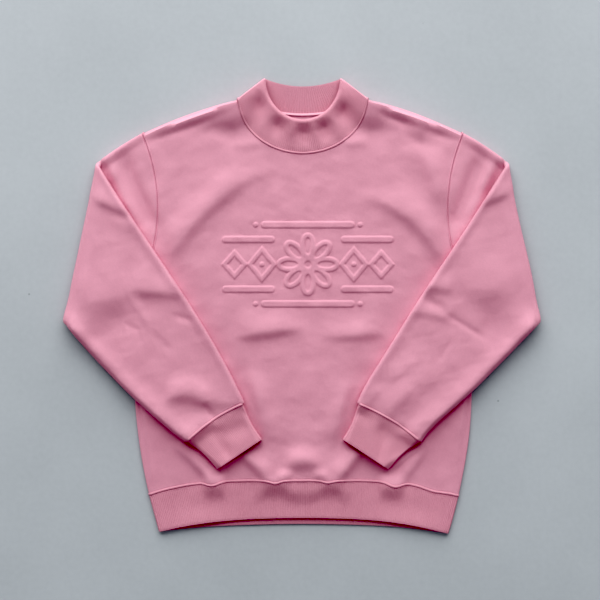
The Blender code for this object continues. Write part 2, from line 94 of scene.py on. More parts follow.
SLEEVE_FULLNESS = 0.008      # the folded sleeve bows out along its inner edge
SLEEVE_WIDTH = 0.24          # width of a sleeve where it is folded
OUTER_BOW = {1: 0.0008, -1: 0.0080}    # each sleeve, 1 for the left, bows out at its outer edge
OUTER_DENT = {1: 0.0050, -1: 0.0}      # and draws in again near the cuff
SEAM_GROOVE = 0.0014         # depth of the groove beside the armhole seam,
GROOVE_PLACE = 0.0020        # its distance from the seam
GROOVE_WIDTH = 0.0014        # and its width
CUFF_BOW = 0.0050            # the cuff's seam bows into the sleeve
CUFF_GATHER = 0.0028         # the cuff is this much narrower than the sleeve at each side
CUFF_WAIST = 0.003           # and draws in by this much at its middle
COLLAR_LIFT = 0.010          # the collar's front stands open,
COLLAR_CURL = 0.0030         # its top edge curls down again
CURL_SHARE = 0.07            # over this share of its height,
COLLAR_BACK_LIFT = 0.0035    # and the top edge of its back lifts off the floor
COLLAR_SINK = 0.0030         # the furthest that the collar's dents sink below the front
HEM_LIFT = 0.0003            # the hem's front edge stands a little open,
HEM_FLARE = 0.0024           # and more so towards its sides,
HEM_FLARE_PLACE = 0.74       # at this share of its half width,
HEM_FLARE_REACH = 0.20       # over this reach
TAPE_HALF = 0.062
TAPE_WIDTH = 0.010
TAPE_WALL = 0.0010
TAPE_BELOW = 0.6             # share of the tape's width that lies below the neck seam

# ---------------------------------------------------------------- heights of the layers
BACK_Z = WALL / 2                            # middle of the layer that lies on the floor
EDGE_Z = BACK_Z + WALL + SEAM                # middle of the front layer at a side seam
FRONT_Z = BACK_Z + LAYER_PITCH               # middle of the front layer away from seams
INNER_TURN = 0.0030                          # radius of the fold, front layer of the sleeve
OUTER_TURN = INNER_TURN + LAYER_PITCH
FOLD_Z = FRONT_Z + INNER_TURN
INNER_Z = FOLD_Z + INNER_TURN                # front layer of the sleeve, once folded over
OUTER_Z = FOLD_Z + OUTER_TURN
FOLD_REACH = OUTER_TURN + WALL / 2           # from the fold's axis to the outline
EDGE_MIDDLE_Z = (BACK_Z + EDGE_Z) / 2        # the side edges turn round this height
EDGE_TURN = (EDGE_Z - BACK_Z) / 2            # radius of that turn, at the wall's middle
EDGE_REACH = EDGE_TURN + WALL / 2            # and at its outer face

AIR = 0.0058             # air that the front rests on, away from the sleeves
AIR_LOW = 0.0006         # below the sleeves and cuffs
AIR_COVERED = 0.0032     # and under a folded sleeve
SLEEVE_AIR = 0.0034      # air inside a folded sleeve
CUFF_AIR = 0.0034        # and inside a cuff,
CUFF_OPEN = 0.0010       # whose end stands open by this much,
CUFF_OPEN_POWER = 1.4    # and opens faster towards it
CUFF_BLEND = 0.28        # share of the cuff over which it leaves the sleeve's shape
FOLD_LIMIT = 0.0214      # the highest that a fold rises where nothing lies on it,
SLEEVE_LIMIT = 0.0130    # on a folded sleeve
COVERED_LIMIT = 0.0030   # and under a folded sleeve
COVERED_MARGIN = 0.0005  # that lower limit reaches this far past the sleeve,
COVERED_BLEND = 0.008    # and eases off over this distance
AIR_BLEND = 0.060        # the air eases off over this one
SHOULDER_FADE = 0.0030   # the cloth rounds down to the shoulder seams over this distance,
EDGE_FADE = 0.0100       # to its other edges over this one,
INNER_FADE = 0.0036      # and a folded sleeve to its inner
OUTER_FADE = 0.0070      # and outer edge over these
NARROW_ROLL = 0.0140     # width of the narrow rolls along the shoulder seams
ROLL_POWER = 1.7         # how much more steeply a roll falls away from the edge,
ROLL_SOFTNESS = 0.25     # how gently it levels off, as a share of its height,
TROUGH = 0.22            # and the depth of the trough below it,
TROUGH_PLACE = 1.15      # which lies here, in widths of the roll
TROUGH_WIDTH = 0.4
SOFT_REST = 0.0008       # how gently a hollow comes to rest on the layer below
FOLD_TAPER = 1.6         # how soon a fold dies down towards its ends

# A roll along an edge: its height, how far in its crest lies and its reach past that.
Roll = namedtuple("Roll", "height crest reach")

INNER_ROLL = Roll(0.0022, 0.0028, 0.010)     # along a folded sleeve's inner edge
OUTER_ROLL = Roll(0.0048, 0.0080, 0.016)     # and its outer edge, where its seam is

AIR_FROM_FOLD = 0.024    # the air in a folded sleeve eases in this far from its fold,
ROLL_FROM_FOLD = 0.014   # and the rolls this far
ROLL_FRONT_POWER = 2.2   # how steeply a roll climbs from the edge to its crest
SAG = 0.0048             # how far a folded sleeve sags towards the floor beside the body
SAG_FROM_BODY = 0.040    # the sag eases in over these distances
SAG_FROM_CAP = 0.045
SAG_FROM_FOLD = 0.050
HEM_PUFF = 0.015         # between its dips the hem band stays up this far below its seam,
PUFF_LOSS = 0.9          # less by this share in a dip
PUFF_SPREAD = 2.0        # and this many times its width,
PUFF_END = 0.15          # as far as this from the middle,
PUFF_FADE = 0.08         # where it eases off over this distance
HEM_DROP = 0.030         # it then falls over this distance
HEM_DROP_SHARE = 0.05    # to this share of its height

# The front lies low below the sleeves and cuffs, further from the middle than side and
# further down than y. Both come in over a distance.
LowZone = namedtuple("LowZone", "side side_blend y y_blend")

LOW_ZONES = [
    LowZone(0.085, 0.075, -0.14, 0.10),
    LowZone(0.050, 0.040, -0.20, 0.030),
]

# The uneven rise and fall of cloth that was smoothed by hand, as waves of random lengths.
Waves = namedtuple("Waves", "shortest longest height count")

LONG_WAVES = Waves(0.030, 0.085, 0.0004, 14)
SHORT_WAVES = Waves(0.010, 0.026, 0.00010, 24)

# A raised line along the neck tape: where it lies, as a share of the tape's width.
TapeRidge = namedtuple("TapeRidge", "place width height")

TAPE_RIDGES = [
    TapeRidge(0.70, 0.15, 0.0022),
    TapeRidge(0.14, 0.10, 0.0010),
]

# ---------------------------------------------------------------- sizes of the grids
TURN_STEPS = 6           # faces round a turned edge
SIDE_BLEND = 0.006       # a side's turned edge comes in this far below the underarm
NECK_COLUMNS = 62
SHOULDER_COLUMNS = 44    # on each side of the neck
BODY_ROWS = 170
BACK_ROWS = 60
NECK_SNAP = 0.0018       # points this close to the front's neck seam move onto it
SLEEVE_COLUMNS = 84      # on each layer
CAP_ROWS = 34
CAP_SPACING = 1.7        # above 1, the cap's rows lie closer towards its seam
FOLD_ROWS = 12
FOREARM_ROWS = 104
RIB_FACES = 4            # faces across one rib
BACK_RIBS = 0.68         # ribs of the collar's back, as a share of its front's
HEM_ROWS = 13
COLLAR_ROWS = 22
CUFF_ROWS = 14
EDGE_ROUNDING = 0.38     # a cut edge is rounded by this share of the wall

# ---------------------------------------------------------------- seams and stitches
BEAD_FACES = 8           # faces round a raised seam,
BEAD_STEPS = {"hem": 420, "neck": 320, "armhole": 200, "cuff": 120}    # and along it
BEAD_GIRTH = 2.2         # length of cloth round it, in its widths
ARMHOLE_SEAM = (0.65, 0.6)    # its width and height, as shares of the other seams'
STITCH_PITCH = 0.0034    # from one stitch to the next
STITCH_HALVES = (0.0011, 0.0004, 0.0003)    # half of its length, width and height
STITCH_RISE = 0.3        # how far it stands up, as a share of its half height
STITCH_INSET = 0.0034    # how far a row of stitches runs from its seam
STITCH_STEPS = 480       # points of the line that it follows

# ---------------------------------------------------------------- folds in the cloth
# A soft ridge from one point to another. width: from its crest to where it dies down;
# height: below 0 for a hollow; bend: how far it bows to the left of its direction;
# lean: above 0 its left side falls off more slowly than its right.
Fold = namedtuple("Fold", "x1 y1 x2 y2 width height bend lean", defaults=(0.0, 0.0))

BODY_FOLDS = [
    # drag from the right armhole
    Fold(-0.215, 0.068, -0.072, 0.210, 0.0189, 0.0065, bend=0.014, lean=0.30),
    # down the right sleeve cap
    Fold(-0.304, 0.229, -0.261, 0.134, 0.0095, 0.0045, bend=-0.005),
    Fold(-0.278, 0.235, -0.228, 0.118, 0.0126, -0.0060, bend=-0.008),
    Fold(-0.322, 0.226, -0.285, 0.161, 0.0079, -0.0044),
    # along the right side seam
    Fold(-0.253, -0.152, -0.237, -0.282, 0.0038, 0.0009),
    # drag from the left armhole
    Fold(0.106, 0.172, 0.226, 0.059, 0.0205, 0.0060, bend=0.019, lean=0.40),
    Fold(0.182, 0.257, 0.219, 0.156, 0.0173, 0.0066, bend=0.003, lean=0.20),
    # down the left sleeve cap
    Fold(0.301, 0.229, 0.257, 0.134, 0.0095, 0.0045, bend=0.003),
    Fold(0.278, 0.232, 0.232, 0.118, 0.0142, -0.0068, bend=0.006),
    Fold(0.320, 0.224, 0.284, 0.159, 0.0079, -0.0040),
    # along the left side seam
    Fold(0.252, -0.149, 0.240, -0.285, 0.0038, 0.0009),
    # across the belly
    Fold(-0.102, -0.047, -0.004, -0.033, 0.0158, 0.0056, lean=0.40),
    Fold(0.037, -0.049, 0.128, -0.042, 0.0126, 0.0038, lean=0.30),
    # beside the cuffs
    Fold(-0.078, -0.112, -0.048, -0.219, 0.0142, 0.0060, lean=0.20),
    Fold(0.076, -0.118, 0.046, -0.219, 0.0142, 0.0055, lean=-0.20),
    # above the hem band, at the middle
    Fold(-0.026, -0.247, 0.027, -0.247, 0.0142, 0.0060, bend=0.003, lean=0.15),
    Fold(-0.042, -0.267, -0.015, -0.266, 0.0079, 0.0026),
    Fold(0.015, -0.266, 0.040, -0.267, 0.0079, 0.0026),
    # from under the cuffs
    Fold(-0.096, -0.228, -0.052, -0.272, 0.0126, 0.0070, lean=0.30),
    Fold(0.092, -0.222, 0.054, -0.272, 0.0126, 0.0070, lean=-0.30),
    # beside the collar
    Fold(-0.111, 0.249, -0.064, 0.254, 0.0079, 0.0013),
    Fold(0.063, 0.251, 0.103, 0.259, 0.0079, 0.0015),
    Fold(-0.200, -0.215, -0.137, -0.278, 0.0095, 0.0048, lean=0.20),
    Fold(0.194, -0.212, 0.156, -0.275, 0.0095, 0.0036, lean=-0.20),
    # along the hem seam
    Fold(-0.157, -0.280, -0.121, -0.280, 0.0252, 0.0070, lean=-0.40),
    Fold(-0.064, -0.277, -0.020, -0.277, 0.0142, 0.0035, lean=-0.20),
    Fold(0.029, -0.275, 0.063, -0.275, 0.0142, 0.0030, lean=-0.20),
    Fold(0.119, -0.282, 0.160, -0.282, 0.0252, 0.0070, lean=-0.40),
]

SLEEVE_FOLDS = [
    # right sleeve, from its fold down
    Fold(-0.338, 0.175, -0.270, 0.144, 0.0126, 0.0050, lean=0.35),
    Fold(-0.300, 0.134, -0.263, 0.120, 0.0095, 0.0014),
    Fold(-0.354, 0.005, -0.266, 0.027, 0.0347, 0.0064, bend=-0.003, lean=0.35),
    Fold(-0.275, 0.027, -0.184, 0.019, 0.0189, 0.0050, lean=0.45),
    Fold(-0.275, 0.024, -0.241, -0.033, 0.0063, 0.0010),
    Fold(-0.206, -0.014, -0.171, -0.025, 0.0055, -0.0014),
    Fold(-0.373, -0.017, -0.281, -0.105, 0.0236, 0.0042, lean=0.50),
    Fold(-0.335, 0.068, -0.209, 0.074, 0.0473, 0.0020),
    Fold(-0.278, -0.030, -0.255, -0.039, 0.0047, -0.0009),
    Fold(-0.234, -0.044, -0.203, -0.074, 0.0063, -0.0008),
    Fold(-0.215, -0.146, -0.143, -0.152, 0.0173, 0.0075, bend=0.014, lean=0.15),
    Fold(-0.157, -0.152, -0.137, -0.178, 0.0063, -0.0016),
    Fold(-0.168, -0.146, -0.096, -0.149, 0.0205, 0.0035, lean=0.40),
    Fold(-0.187, -0.212, -0.140, -0.178, 0.0142, 0.0060, lean=0.30),
    # left sleeve, from its fold down
    Fold(0.279, 0.159, 0.341, 0.188, 0.0126, 0.0050, lean=0.35),
    Fold(0.251, 0.032, 0.339, 0.024, 0.0315, 0.0050, lean=0.30),
    Fold(0.175, 0.032, 0.235, 0.027, 0.0142, 0.0045, lean=0.40),
    Fold(0.282, -0.102, 0.371, -0.020, 0.0236, 0.0042, lean=0.50),
    Fold(0.216, 0.062, 0.326, 0.062, 0.0473, 0.0020),
    Fold(0.185, 0.013, 0.226, -0.009, 0.0071, -0.0022),
    Fold(0.216, -0.009, 0.286, -0.052, 0.0047, -0.0016),
    Fold(0.166, -0.006, 0.232, -0.019, 0.0126, 0.0026, lean=0.40),
    Fold(0.212, -0.089, 0.235, -0.050, 0.0054, -0.0009),
    Fold(0.117, -0.171, 0.216, -0.096, 0.0268, 0.0032, lean=0.30),
    # gathers above its cuff
    Fold(0.093, -0.167, 0.125, -0.127, 0.0095, 0.0018, lean=0.20),
    Fold(0.128, -0.179, 0.169, -0.127, 0.0110, 0.0024, lean=0.20),
    Fold(0.137, -0.118, 0.178, -0.083, 0.0126, 0.0020, lean=0.30),
    Fold(0.166, -0.201, 0.194, -0.171, 0.0095, 0.0020, lean=0.20),
    Fold(0.147, -0.186, 0.161, -0.197, 0.0041, -0.0014),
]

CUFF_FOLDS = [
    # right cuff
    Fold(-0.140, -0.187, -0.115, -0.241, 0.0095, -0.0040),
    Fold(-0.132, -0.204, -0.083, -0.187, 0.0126, -0.0028),
    Fold(-0.168, -0.212, -0.140, -0.193, 0.0095, -0.0014),
    # left cuff
    Fold(0.128, -0.187, 0.119, -0.247, 0.0071, -0.0026),
    Fold(0.115, -0.192, 0.169, -0.228, 0.0142, -0.0030),
    Fold(0.167, -0.203, 0.139, -0.241, 0.0095, -0.0034),
    Fold(0.087, -0.160, 0.115, -0.181, 0.0095, -0.0018),
]

# The front rolls down from the shoulder seams. At each x: the height of a narrow roll,
# and the height and width of a wide one.
ShoulderRoll = namedtuple("ShoulderRoll", "x narrow wide width")

SHOULDER_ROLLS = [
    ShoulderRoll(-0.323, 0.0030, 0.0000, 0.030),
    ShoulderRoll(-0.290, 0.0036, 0.0000, 0.030),
    ShoulderRoll(-0.265, 0.0026, 0.0000, 0.030),
    ShoulderRoll(-0.248, 0.0012, 0.0000, 0.030),
    ShoulderRoll(-0.230, 0.0030, 0.0000, 0.030),
    ShoulderRoll(-0.205, 0.0054, 0.0000, 0.030),
    ShoulderRoll(-0.178, 0.0068, 0.0000, 0.030),
    ShoulderRoll(-0.160, 0.0055, 0.0020, 0.026),
    ShoulderRoll(-0.141, 0.0040, 0.0080, 0.028),
    ShoulderRoll(-0.107, 0.0010, 0.0135, 0.044),
    ShoulderRoll(-0.080, 0.0000, 0.0085, 0.044),
    ShoulderRoll(-0.055, 0.0000, 0.0000, 0.044),
    ShoulderRoll(0.055, 0.0000, 0.0000, 0.044),
    ShoulderRoll(0.080, 0.0000, 0.0085, 0.044),
    ShoulderRoll(0.103, 0.0010, 0.0140, 0.044),
    ShoulderRoll(0.116, 0.0015, 0.0110, 0.040),
    ShoulderRoll(0.130, 0.0055, 0.0035, 0.034),
    ShoulderRoll(0.157, 0.0078, 0.0000, 0.030),
    ShoulderRoll(0.172, 0.0040, 0.0045, 0.034),
    ShoulderRoll(0.185, 0.0020, 0.0080, 0.036),
    ShoulderRoll(0.200, 0.0038, 0.0025, 0.034),
    ShoulderRoll(0.216, 0.0044, 0.0000, 0.030),
    ShoulderRoll(0.240, 0.0022, 0.0000, 0.030),
    ShoulderRoll(0.255, 0.0012, 0.0000, 0.030),
    ShoulderRoll(0.270, 0.0026, 0.0000, 0.030),
    ShoulderRoll(0.295, 0.0036, 0.0000, 0.030),
    ShoulderRoll(0.323, 0.0030, 0.0000, 0.030),
]

# Where the garment lies a little off its symmetrical cut: a smooth shift round a point.
Shift = namedtuple("Shift", "x y reach dx dy")

LAY_SHIFTS = [
    Shift(0.245, -0.220, 0.090, 0.0032, -0.0005),
    Shift(0.230, -0.340, 0.060, 0.0030, -0.0030),
    Shift(0.095, -0.140, 0.062, -0.0066, 0.0000),
    Shift(0.280, 0.245, 0.050, 0.0005, 0.0030),
    Shift(-0.280, 0.245, 0.050, -0.0005, 0.0024),
    Shift(0.335, 0.150, 0.070, -0.0026, 0.0000),
    Shift(0.370, -0.030, 0.050, -0.0025, 0.0000),
    Shift(-0.160, 0.300, 0.050, 0.0000, -0.0012),
    Shift(0.000, -0.345, 0.080, 0.0000, 0.0010),
]

# The front's hem seam dips where the cloth above it is fuller.
HemDip = namedtuple("HemDip", "x width drop")

HEM_DIPS = [
    HemDip(-0.143, 0.012, 0.0045),
    HemDip(-0.044, 0.010, 0.0040),
    HemDip(0.040, 0.010, 0.0030),
    HemDip(0.145, 0.013, 0.0060),
    HemDip(0.205, 0.022, 0.0045),
]

# The collar's front dents in between soft ribs. around: degrees from the middle.
Dent = namedtuple("Dent", "around width height")

DENT_RISE = 0.44         # a dent deepens over this share of the height from the top edge
DENT_FOOT = 0.70         # and over this one from the seam
DENT_LIMIT = 0.0076      # the deepest that dents get together

COLLAR_DENTS = [
    Dent(-65, 12, -0.0068),
    Dent(-46, 6, 0.0006),
    Dent(-31, 10, -0.0066),
    Dent(-14, 5, 0.0016),
    Dent(1, 10, -0.0064),
    Dent(14, 4, 0.0016),
    Dent(26, 10, -0.0072),
    Dent(41, 6, 0.0008),
    Dent(57, 12, -0.0078),
]


# ---------------------------------------------------------------- settings
def color_setting(name, description, default):
    return FloatVectorProperty(name=name, description=description, default=default,
                               subtype="COLOR", size=3, min=0, max=1)


def length_setting(name, description, low, high, default):
    return FloatProperty(name=name, description=description, default=default,
                         unit="LENGTH", min=low, max=high)


def count_setting(name, description, low, high, default):
    return IntProperty(name=name, description=description, default=default,
                       min=low, max=high)


class SweatshirtCloth(PropertyGroup):
    """Colours of the cloth, and sizes of its ribs, seams and chest design."""

    fleece_color: color_setting(
        "Fleece colour", "Colour of the body and the sleeves", (0.778, 0.417, 0.502))
    rib_color: color_setting(
        "Rib colour", "Colour of the collar, cuffs and hem band", (0.752, 0.395, 0.471))
    tape_color: color_setting(
        "Tape colour", "Colour of the strip inside the back neck", (0.840, 0.490, 0.580))
    thread_color: color_setting(
        "Thread colour", "Colour of the stitches along the seams", (0.800, 0.460, 0.550))
    rib_depth: length_setting(
        "Rib depth", "Height of a rib above the groove beside it", 0, 0.0015, 0.0004)
    collar_ribs: count_setting(
        "Collar ribs", "Ribs round the front half of the collar", 20, 200, 98)
    hem_ribs: count_setting("Hem ribs", "Ribs across the front of the hem band", 40, 300, 172)
    cuff_ribs: count_setting("Cuff ribs", "Ribs across one side of a cuff", 10, 100, 34)
    bead_width: length_setting(
        "Seam width", "Width of the raised seams", 0.001, 0.006, 0.0040)
    bead_height: length_setting(
        "Seam height", "How far the raised seams stand up", 0.0002, 0.003, 0.0012)
    emboss_height: length_setting(
        "Emboss height", "How far the chest design stands up", 0, 0.003, 0.0013)


class SweatshirtStage(PropertyGroup):
    """The floor, the light and the camera."""

    floor_color: color_setting(
        "Floor colour", "Colour of the floor that the garment lies on", (0.520, 0.543, 0.564))
    floor_size: length_setting("Floor size", "Length of the floor's sides", 1, 50, 12.0)
    key_power: FloatProperty(
        name="Key light", description="Power of the large soft light beyond the collar",
        unit="POWER", min=0, max=5000, default=442.0)
    key_width: length_setting("Key width", "Width of the key light", 0.1, 10, 8.0)
    key_height: length_setting("Key height", "Height of the key light", 0.1, 10, 4.4)
    key_place: FloatVectorProperty(
        name="Key place", description="Where the key light stands",
        subtype="TRANSLATION", size=3, default=(-0.25, 4.15, 2.2))
    fill_color: color_setting(
        "Fill colour", "Colour of the even light from all round", (0.93, 0.97, 1.0))
    fill_strength: FloatProperty(
        name="Fill strength", description="Strength of the even light from all round",
        min=0, max=5, default=0.42)
    black_level: FloatProperty(
        name="Black level", description="Light that shows as black, for deeper shades",
        min=0, max=0.5, default=0.15)
    camera_place: FloatVectorProperty(
        name="Camera place", description="Where the camera hangs, looking straight down",
        subtype="TRANSLATION", size=3, default=(-0.0043, 0.0082, 2.2))
    view_width: length_setting(
        "View width", "Width of floor that the camera sees", 0.2, 5, 0.945)


# ---------------------------------------------------------------- small helpers
def lerp(a, b, t):
    return a + (b - a) * t


def smooth(t):
    """0 below 0, 1 above 1, with no corner at either end."""
    t = np.clip(t, 0.0, 1.0)
    return t * t * (3 - 2 * t)


def points(x, y, z):
    """Coordinates as one array of points."""
    return np.stack(np.broadcast_arrays(x, y, z), axis=-1)


def unit(vectors):
    return vectors / np.linalg.norm(vectors, axis=-1, keepdims=True)


def distance_to_path(x, y, path):
    nearest = np.full(np.shape(x), np.inf)
    for a, b in zip(path, path[1:]):
        along = b - a
        t = ((x - a.x) * along.x + (y - a.y) * along.y) / along.length_squared
        t = np.clip(t, 0.0, 1.0)
        away = np.hypot(x - a.x - along.x * t, y - a.y - along.y * t)
        nearest = np.minimum(nearest, away)
    return nearest


def depth_inside(x, y, corners):
    """How far a point lies inside a convex outline, below 0 outside it."""
    depth = np.full(np.shape(x), np.inf)
    for a, b in zip(corners, corners[1:] + corners[:1]):
        edge = (b - a).normalized()
        depth = np.minimum(depth, edge.x * (y - a.y) - edge.y * (x - a.x))
    return depth


# ---------------------------------------------------------------- curves of the cut
def armhole_half(y):
    """Half width of the body between the underarm and the shoulder."""
    above = y > ARMHOLE_DEEPEST.y
    end_x = np.where(above, SHOULDER.x, UNDERARM.x)
    end_y = np.where(above, SHOULDER.y, UNDERARM.y)
    t = (y - ARMHOLE_DEEPEST.y) / (end_y - ARMHOLE_DEEPEST.y)
    return ARMHOLE_DEEPEST.x + (end_x - ARMHOLE_DEEPEST.x) * t * t


def side_half(y):
    """Half width of the body below the underarm."""
    t = (y - BODY_WIDEST.y) / (HEM_SEAM_CORNER.y - BODY_WIDEST.y)
    return BODY_WIDEST.x + (HEM_SEAM_CORNER.x - BODY_WIDEST.x) * t * t


def shoulder_y(x):
    t = (x - NECK_CORNER.x) / (SHOULDER.x - NECK_CORNER.x)
    return lerp(NECK_CORNER.y, SHOULDER.y, t) + SHOULDER_ROUNDING * 4 * t * (1 - t)


def neck_y(x, drop):
    """A neck seam that drops this far at its middle, as a parabola."""
    return NECK_CORNER.y - drop * np.maximum(1 - (x / NECK_CORNER.x) ** 2, 0.0)


def dip_shapes(x, spread=1.0):
    """A rise to 1 in the middle of each dip of the hem seam."""
    return [np.exp(-((x - dip.x) / (dip.width * spread)) ** 2) for dip in HEM_DIPS]


def hem_seam_y(a, middle):
    """The hem seam, a share a from the middle to a corner. Only the front's dips."""
    y = lerp(middle, HEM_SEAM_CORNER.y, np.abs(a) ** HEM_SEAM_CURVE)
    if middle == FRONT_HEM_SEAM_Y:
        shapes = dip_shapes(a * HEM_SEAM_CORNER.x)
        y = y - sum(dip.drop * shape for dip, shape in zip(HEM_DIPS, shapes))
    return y


def hem_y(a, middle):
    return lerp(middle, HEM_CORNER.y, np.abs(a) ** HEM_CURVE)


# ---------------------------------------------------------------- heights of the cloth
SHOULDER_PATH = [
    COLLAR_CORNER.lerp(NECK_CORNER, -0.8),    # past the collar, which is open there
    NECK_CORNER,
    SHOULDER,
    SLEEVE_TIP,
]
SIDE_PATH = [
    SLEEVE_TIP,
    ELBOW,
    UNDERARM,
    BODY_WIDEST,
    HEM_SEAM_CORNER,
    HEM_SEAM_CORNER.lerp(HEM_CORNER, 1.8),    # past the hem, which is open too
]
SLEEVE_OUTLINE = [SLEEVE_TIP, CUFF_SEAM_IN, CUFF_END_IN, CUFF_END_OUT, CUFF_SEAM_OUT, ELBOW]


def folds_at(x, y, folds):
    """Sum of the soft ridges and hollows."""
    height = np.zeros(np.shape(x))
    for fold in folds:
        run_x = fold.x2 - fold.x1
        run_y = fold.y2 - fold.y1
        length = math.hypot(run_x, run_y)
        t = ((x - fold.x1) * run_x + (y - fold.y1) * run_y) / length ** 2
        across = ((y - fold.y1) * run_x - (x - fold.x1) * run_y) / length
        across = across - fold.bend * 4 * t * (1 - t)
        width = fold.width * (1 + fold.lean * np.sign(across))
        taper = np.exp(-FOLD_TAPER * (2 * t - 1) ** 4)
        height += fold.height * taper * np.exp(-(across / width) ** 2)
    return height


def plane_waves(x, y, seed, waves):
    random = np.random.default_rng(seed)
    total = np.zeros(np.shape(x))
    for _ in range(waves.count):
        turn = random.uniform(0, math.tau)
        length = random.uniform(waves.shortest, waves.longest)
        start = random.uniform(0, math.tau)
        along = x * math.cos(turn) + y * math.sin(turn)
        total += np.cos(math.tau * along / length + start)
    return waves.height * total / math.sqrt(waves.count)


def rested(height, limit):
    """A height that comes softly to rest at 0 and levels off below the limit."""
    height = (height + np.sqrt(height ** 2 + SOFT_REST ** 2)) / 2
    return height / (1 + (height / limit) ** 4) ** 0.25


def rolled_down(distance, height, width):
    """A roll that falls ever more steeply from the edge, to a shallow trough."""
    left = height * (1 - (distance / width) ** ROLL_POWER)
    trough = np.exp(-((distance / width - TROUGH_PLACE) / TROUGH_WIDTH) ** 2)
    softened = (left + np.sqrt(left ** 2 + (height * ROLL_SOFTNESS) ** 2)) / 2
    return softened - TROUGH * height * trough


def shoulder_loft(x, distance):
    """Height of the rolls at this distance from the shoulder seams."""
    rolls = np.array(SHOULDER_ROLLS)
    narrow, wide, width = (np.interp(x, rolls[:, 0], rolls[:, k]) for k in (1, 2, 3))
    return rolled_down(distance, narrow, NARROW_ROLL) + rolled_down(distance, wide, width)


def front_air(x, y, under, depth):
    """The air that the front rests on. under: 1 below a folded sleeve; depth: how far
    inside the sleeve's outline."""
    side = np.abs(x)
    near = smooth(1 + (depth + COVERED_MARGIN) / AIR_BLEND)
    low = np.maximum.reduce([smooth((side - zone.side) / zone.side_blend)
                             * smooth((zone.y - y) / zone.y_blend) for zone in LOW_ZONES])
    return lerp(lerp(AIR, AIR_COVERED, near), AIR_LOW, low * (1 - under))


def hem_share(x, y):
    """Share of its height that the front keeps: it falls off below the hem's seam."""
    below_seam = hem_seam_y(x / HEM_SEAM_CORNER.x, FRONT_HEM_SEAM_Y) - y
    puff = HEM_PUFF * (1 - PUFF_LOSS * sum(dip_shapes(x, PUFF_SPREAD)))
    puff = puff * (1 - smooth((np.abs(x) - PUFF_END) / PUFF_FADE))
    return lerp(1.0, HEM_DROP_SHARE, smooth((below_seam - puff) / HEM_DROP))


def front_z(x, y):
    """Middle of the front layer: the front panel and the sleeves before their fold."""
    side = np.abs(x)
    from_shoulder = distance_to_path(side, y, SHOULDER_PATH)
    fade = smooth(from_shoulder / SHOULDER_FADE)
    fade = fade * smooth(distance_to_path(side, y, SIDE_PATH) / EDGE_FADE)
    depth = depth_inside(side, y, SLEEVE_OUTLINE)
    under = smooth(1 + (depth + COVERED_MARGIN) / COVERED_BLEND)
    loft = front_air(x, y, under, depth) + folds_at(x, y, BODY_FOLDS)
    loft += shoulder_loft(x, from_shoulder)
    loft += plane_waves(x, y, 3, LONG_WAVES) + plane_waves(x, y, 5, SHORT_WAVES)
    loft = rested(loft * hem_share(x, y), lerp(FOLD_LIMIT, COVERED_LIMIT, under))
    return EDGE_Z + fade * (FRONT_Z - EDGE_Z + loft)


def roll_height(depth, roll):
    """Height of a roll, this far in from its edge."""
    before = np.clip(1 - depth / roll.crest, 0.0, 1.0)
    past = np.maximum(depth - roll.crest, 0.0)
    return roll.height * (1 - before ** ROLL_FRONT_POWER) * np.exp(-(past / roll.reach) ** 2)


def sleeve_loft(x, y, from_inner, from_outer):
    """How far the top layer of a folded sleeve rises above its lowest. from_inner and
    from_outer: distances from its two long edges."""
    from_fold = distance_to_path(np.abs(x), y, [SLEEVE_TIP, ELBOW])
    loft = SLEEVE_AIR + folds_at(x, y, SLEEVE_FOLDS)
    loft += plane_waves(x, y, 8, LONG_WAVES) + plane_waves(x, y, 9, SHORT_WAVES)
    fade = smooth(from_inner / INNER_FADE) * smooth(from_outer / OUTER_FADE)
    rolls = roll_height(from_inner, INNER_ROLL) + roll_height(from_outer, OUTER_ROLL)
    loft = fade * smooth(from_fold / AIR_FROM_FOLD) * rested(loft, SLEEVE_LIMIT)
    return loft + rolls * smooth(from_fold / ROLL_FROM_FOLD)


def sleeve_sag(x, y):
    """How far a folded sleeve sags where only the floor lies below it."""
    side = np.abs(x)
    beside_body = side - side_half(y)
    cap_edge = (ELBOW - UNDERARM).normalized()
    below_cap = cap_edge.y * (side - UNDERARM.x) - cap_edge.x * (y - UNDERARM.y)
    from_fold = distance_to_path(side, y, [SLEEVE_TIP, ELBOW]) - FOLD_REACH
    return (SAG * smooth(beside_body / SAG_FROM_BODY) * smooth(below_cap / SAG_FROM_CAP)
            * smooth(from_fold / SAG_FROM_FOLD))


def laid(x, y):
    """Where a point of the symmetrical cut lies."""
    new_x, new_y = x, y
    for shift in LAY_SHIFTS:
        share = np.exp(-((x - shift.x) ** 2 + (y - shift.y) ** 2) / shift.reach ** 2)
        new_x = new_x + shift.dx * share
        new_y = new_y + shift.dy * share
    return new_x, new_y


# ---------------------------------------------------------------- chest design
DESIGN_CENTER = Vector((0.008, 0.064))
STROKE = 0.0064          # width of an embossed line
STROKE_EDGE = 0.0026     # over which it rises
BAR_EXTRA = 0.0014       # the bars are wider by this much at each side
DESIGN_MARGIN = 0.0026   # the finer faces reach this far past a line,
DESIGN_REACH = 0.012     # and their cloth is smoothed this far from its middle
HEART_RADIUS = 0.0085    # of the circle in the rosette's middle
PETALS = 8
PETAL_PLACE = 0.0290     # from the rosette's middle to a petal's
PETAL_HALVES = (0.0165, 0.0085)    # half of its length and width

# What lies on both sides of the rosette, at x, and both above and below it, at y.
Lozenge = namedtuple("Lozenge", "x half_x half_y")
Bar = namedtuple("Bar", "x y half_x")
Dot = namedtuple("Dot", "x y")

LOZENGES = [
    Lozenge(0.0720, 0.0190, 0.0230),
    Lozenge(0.1150, 0.0160, 0.0180),
]
BARS = [
    Bar(0.0930, 0.0390, 0.0360),
    Bar(0.0, 0.0620, 0.0680),
]
DOTS = [
    Dot(0.0720, 0.0),
    Dot(0.0820, 0.0620),
]


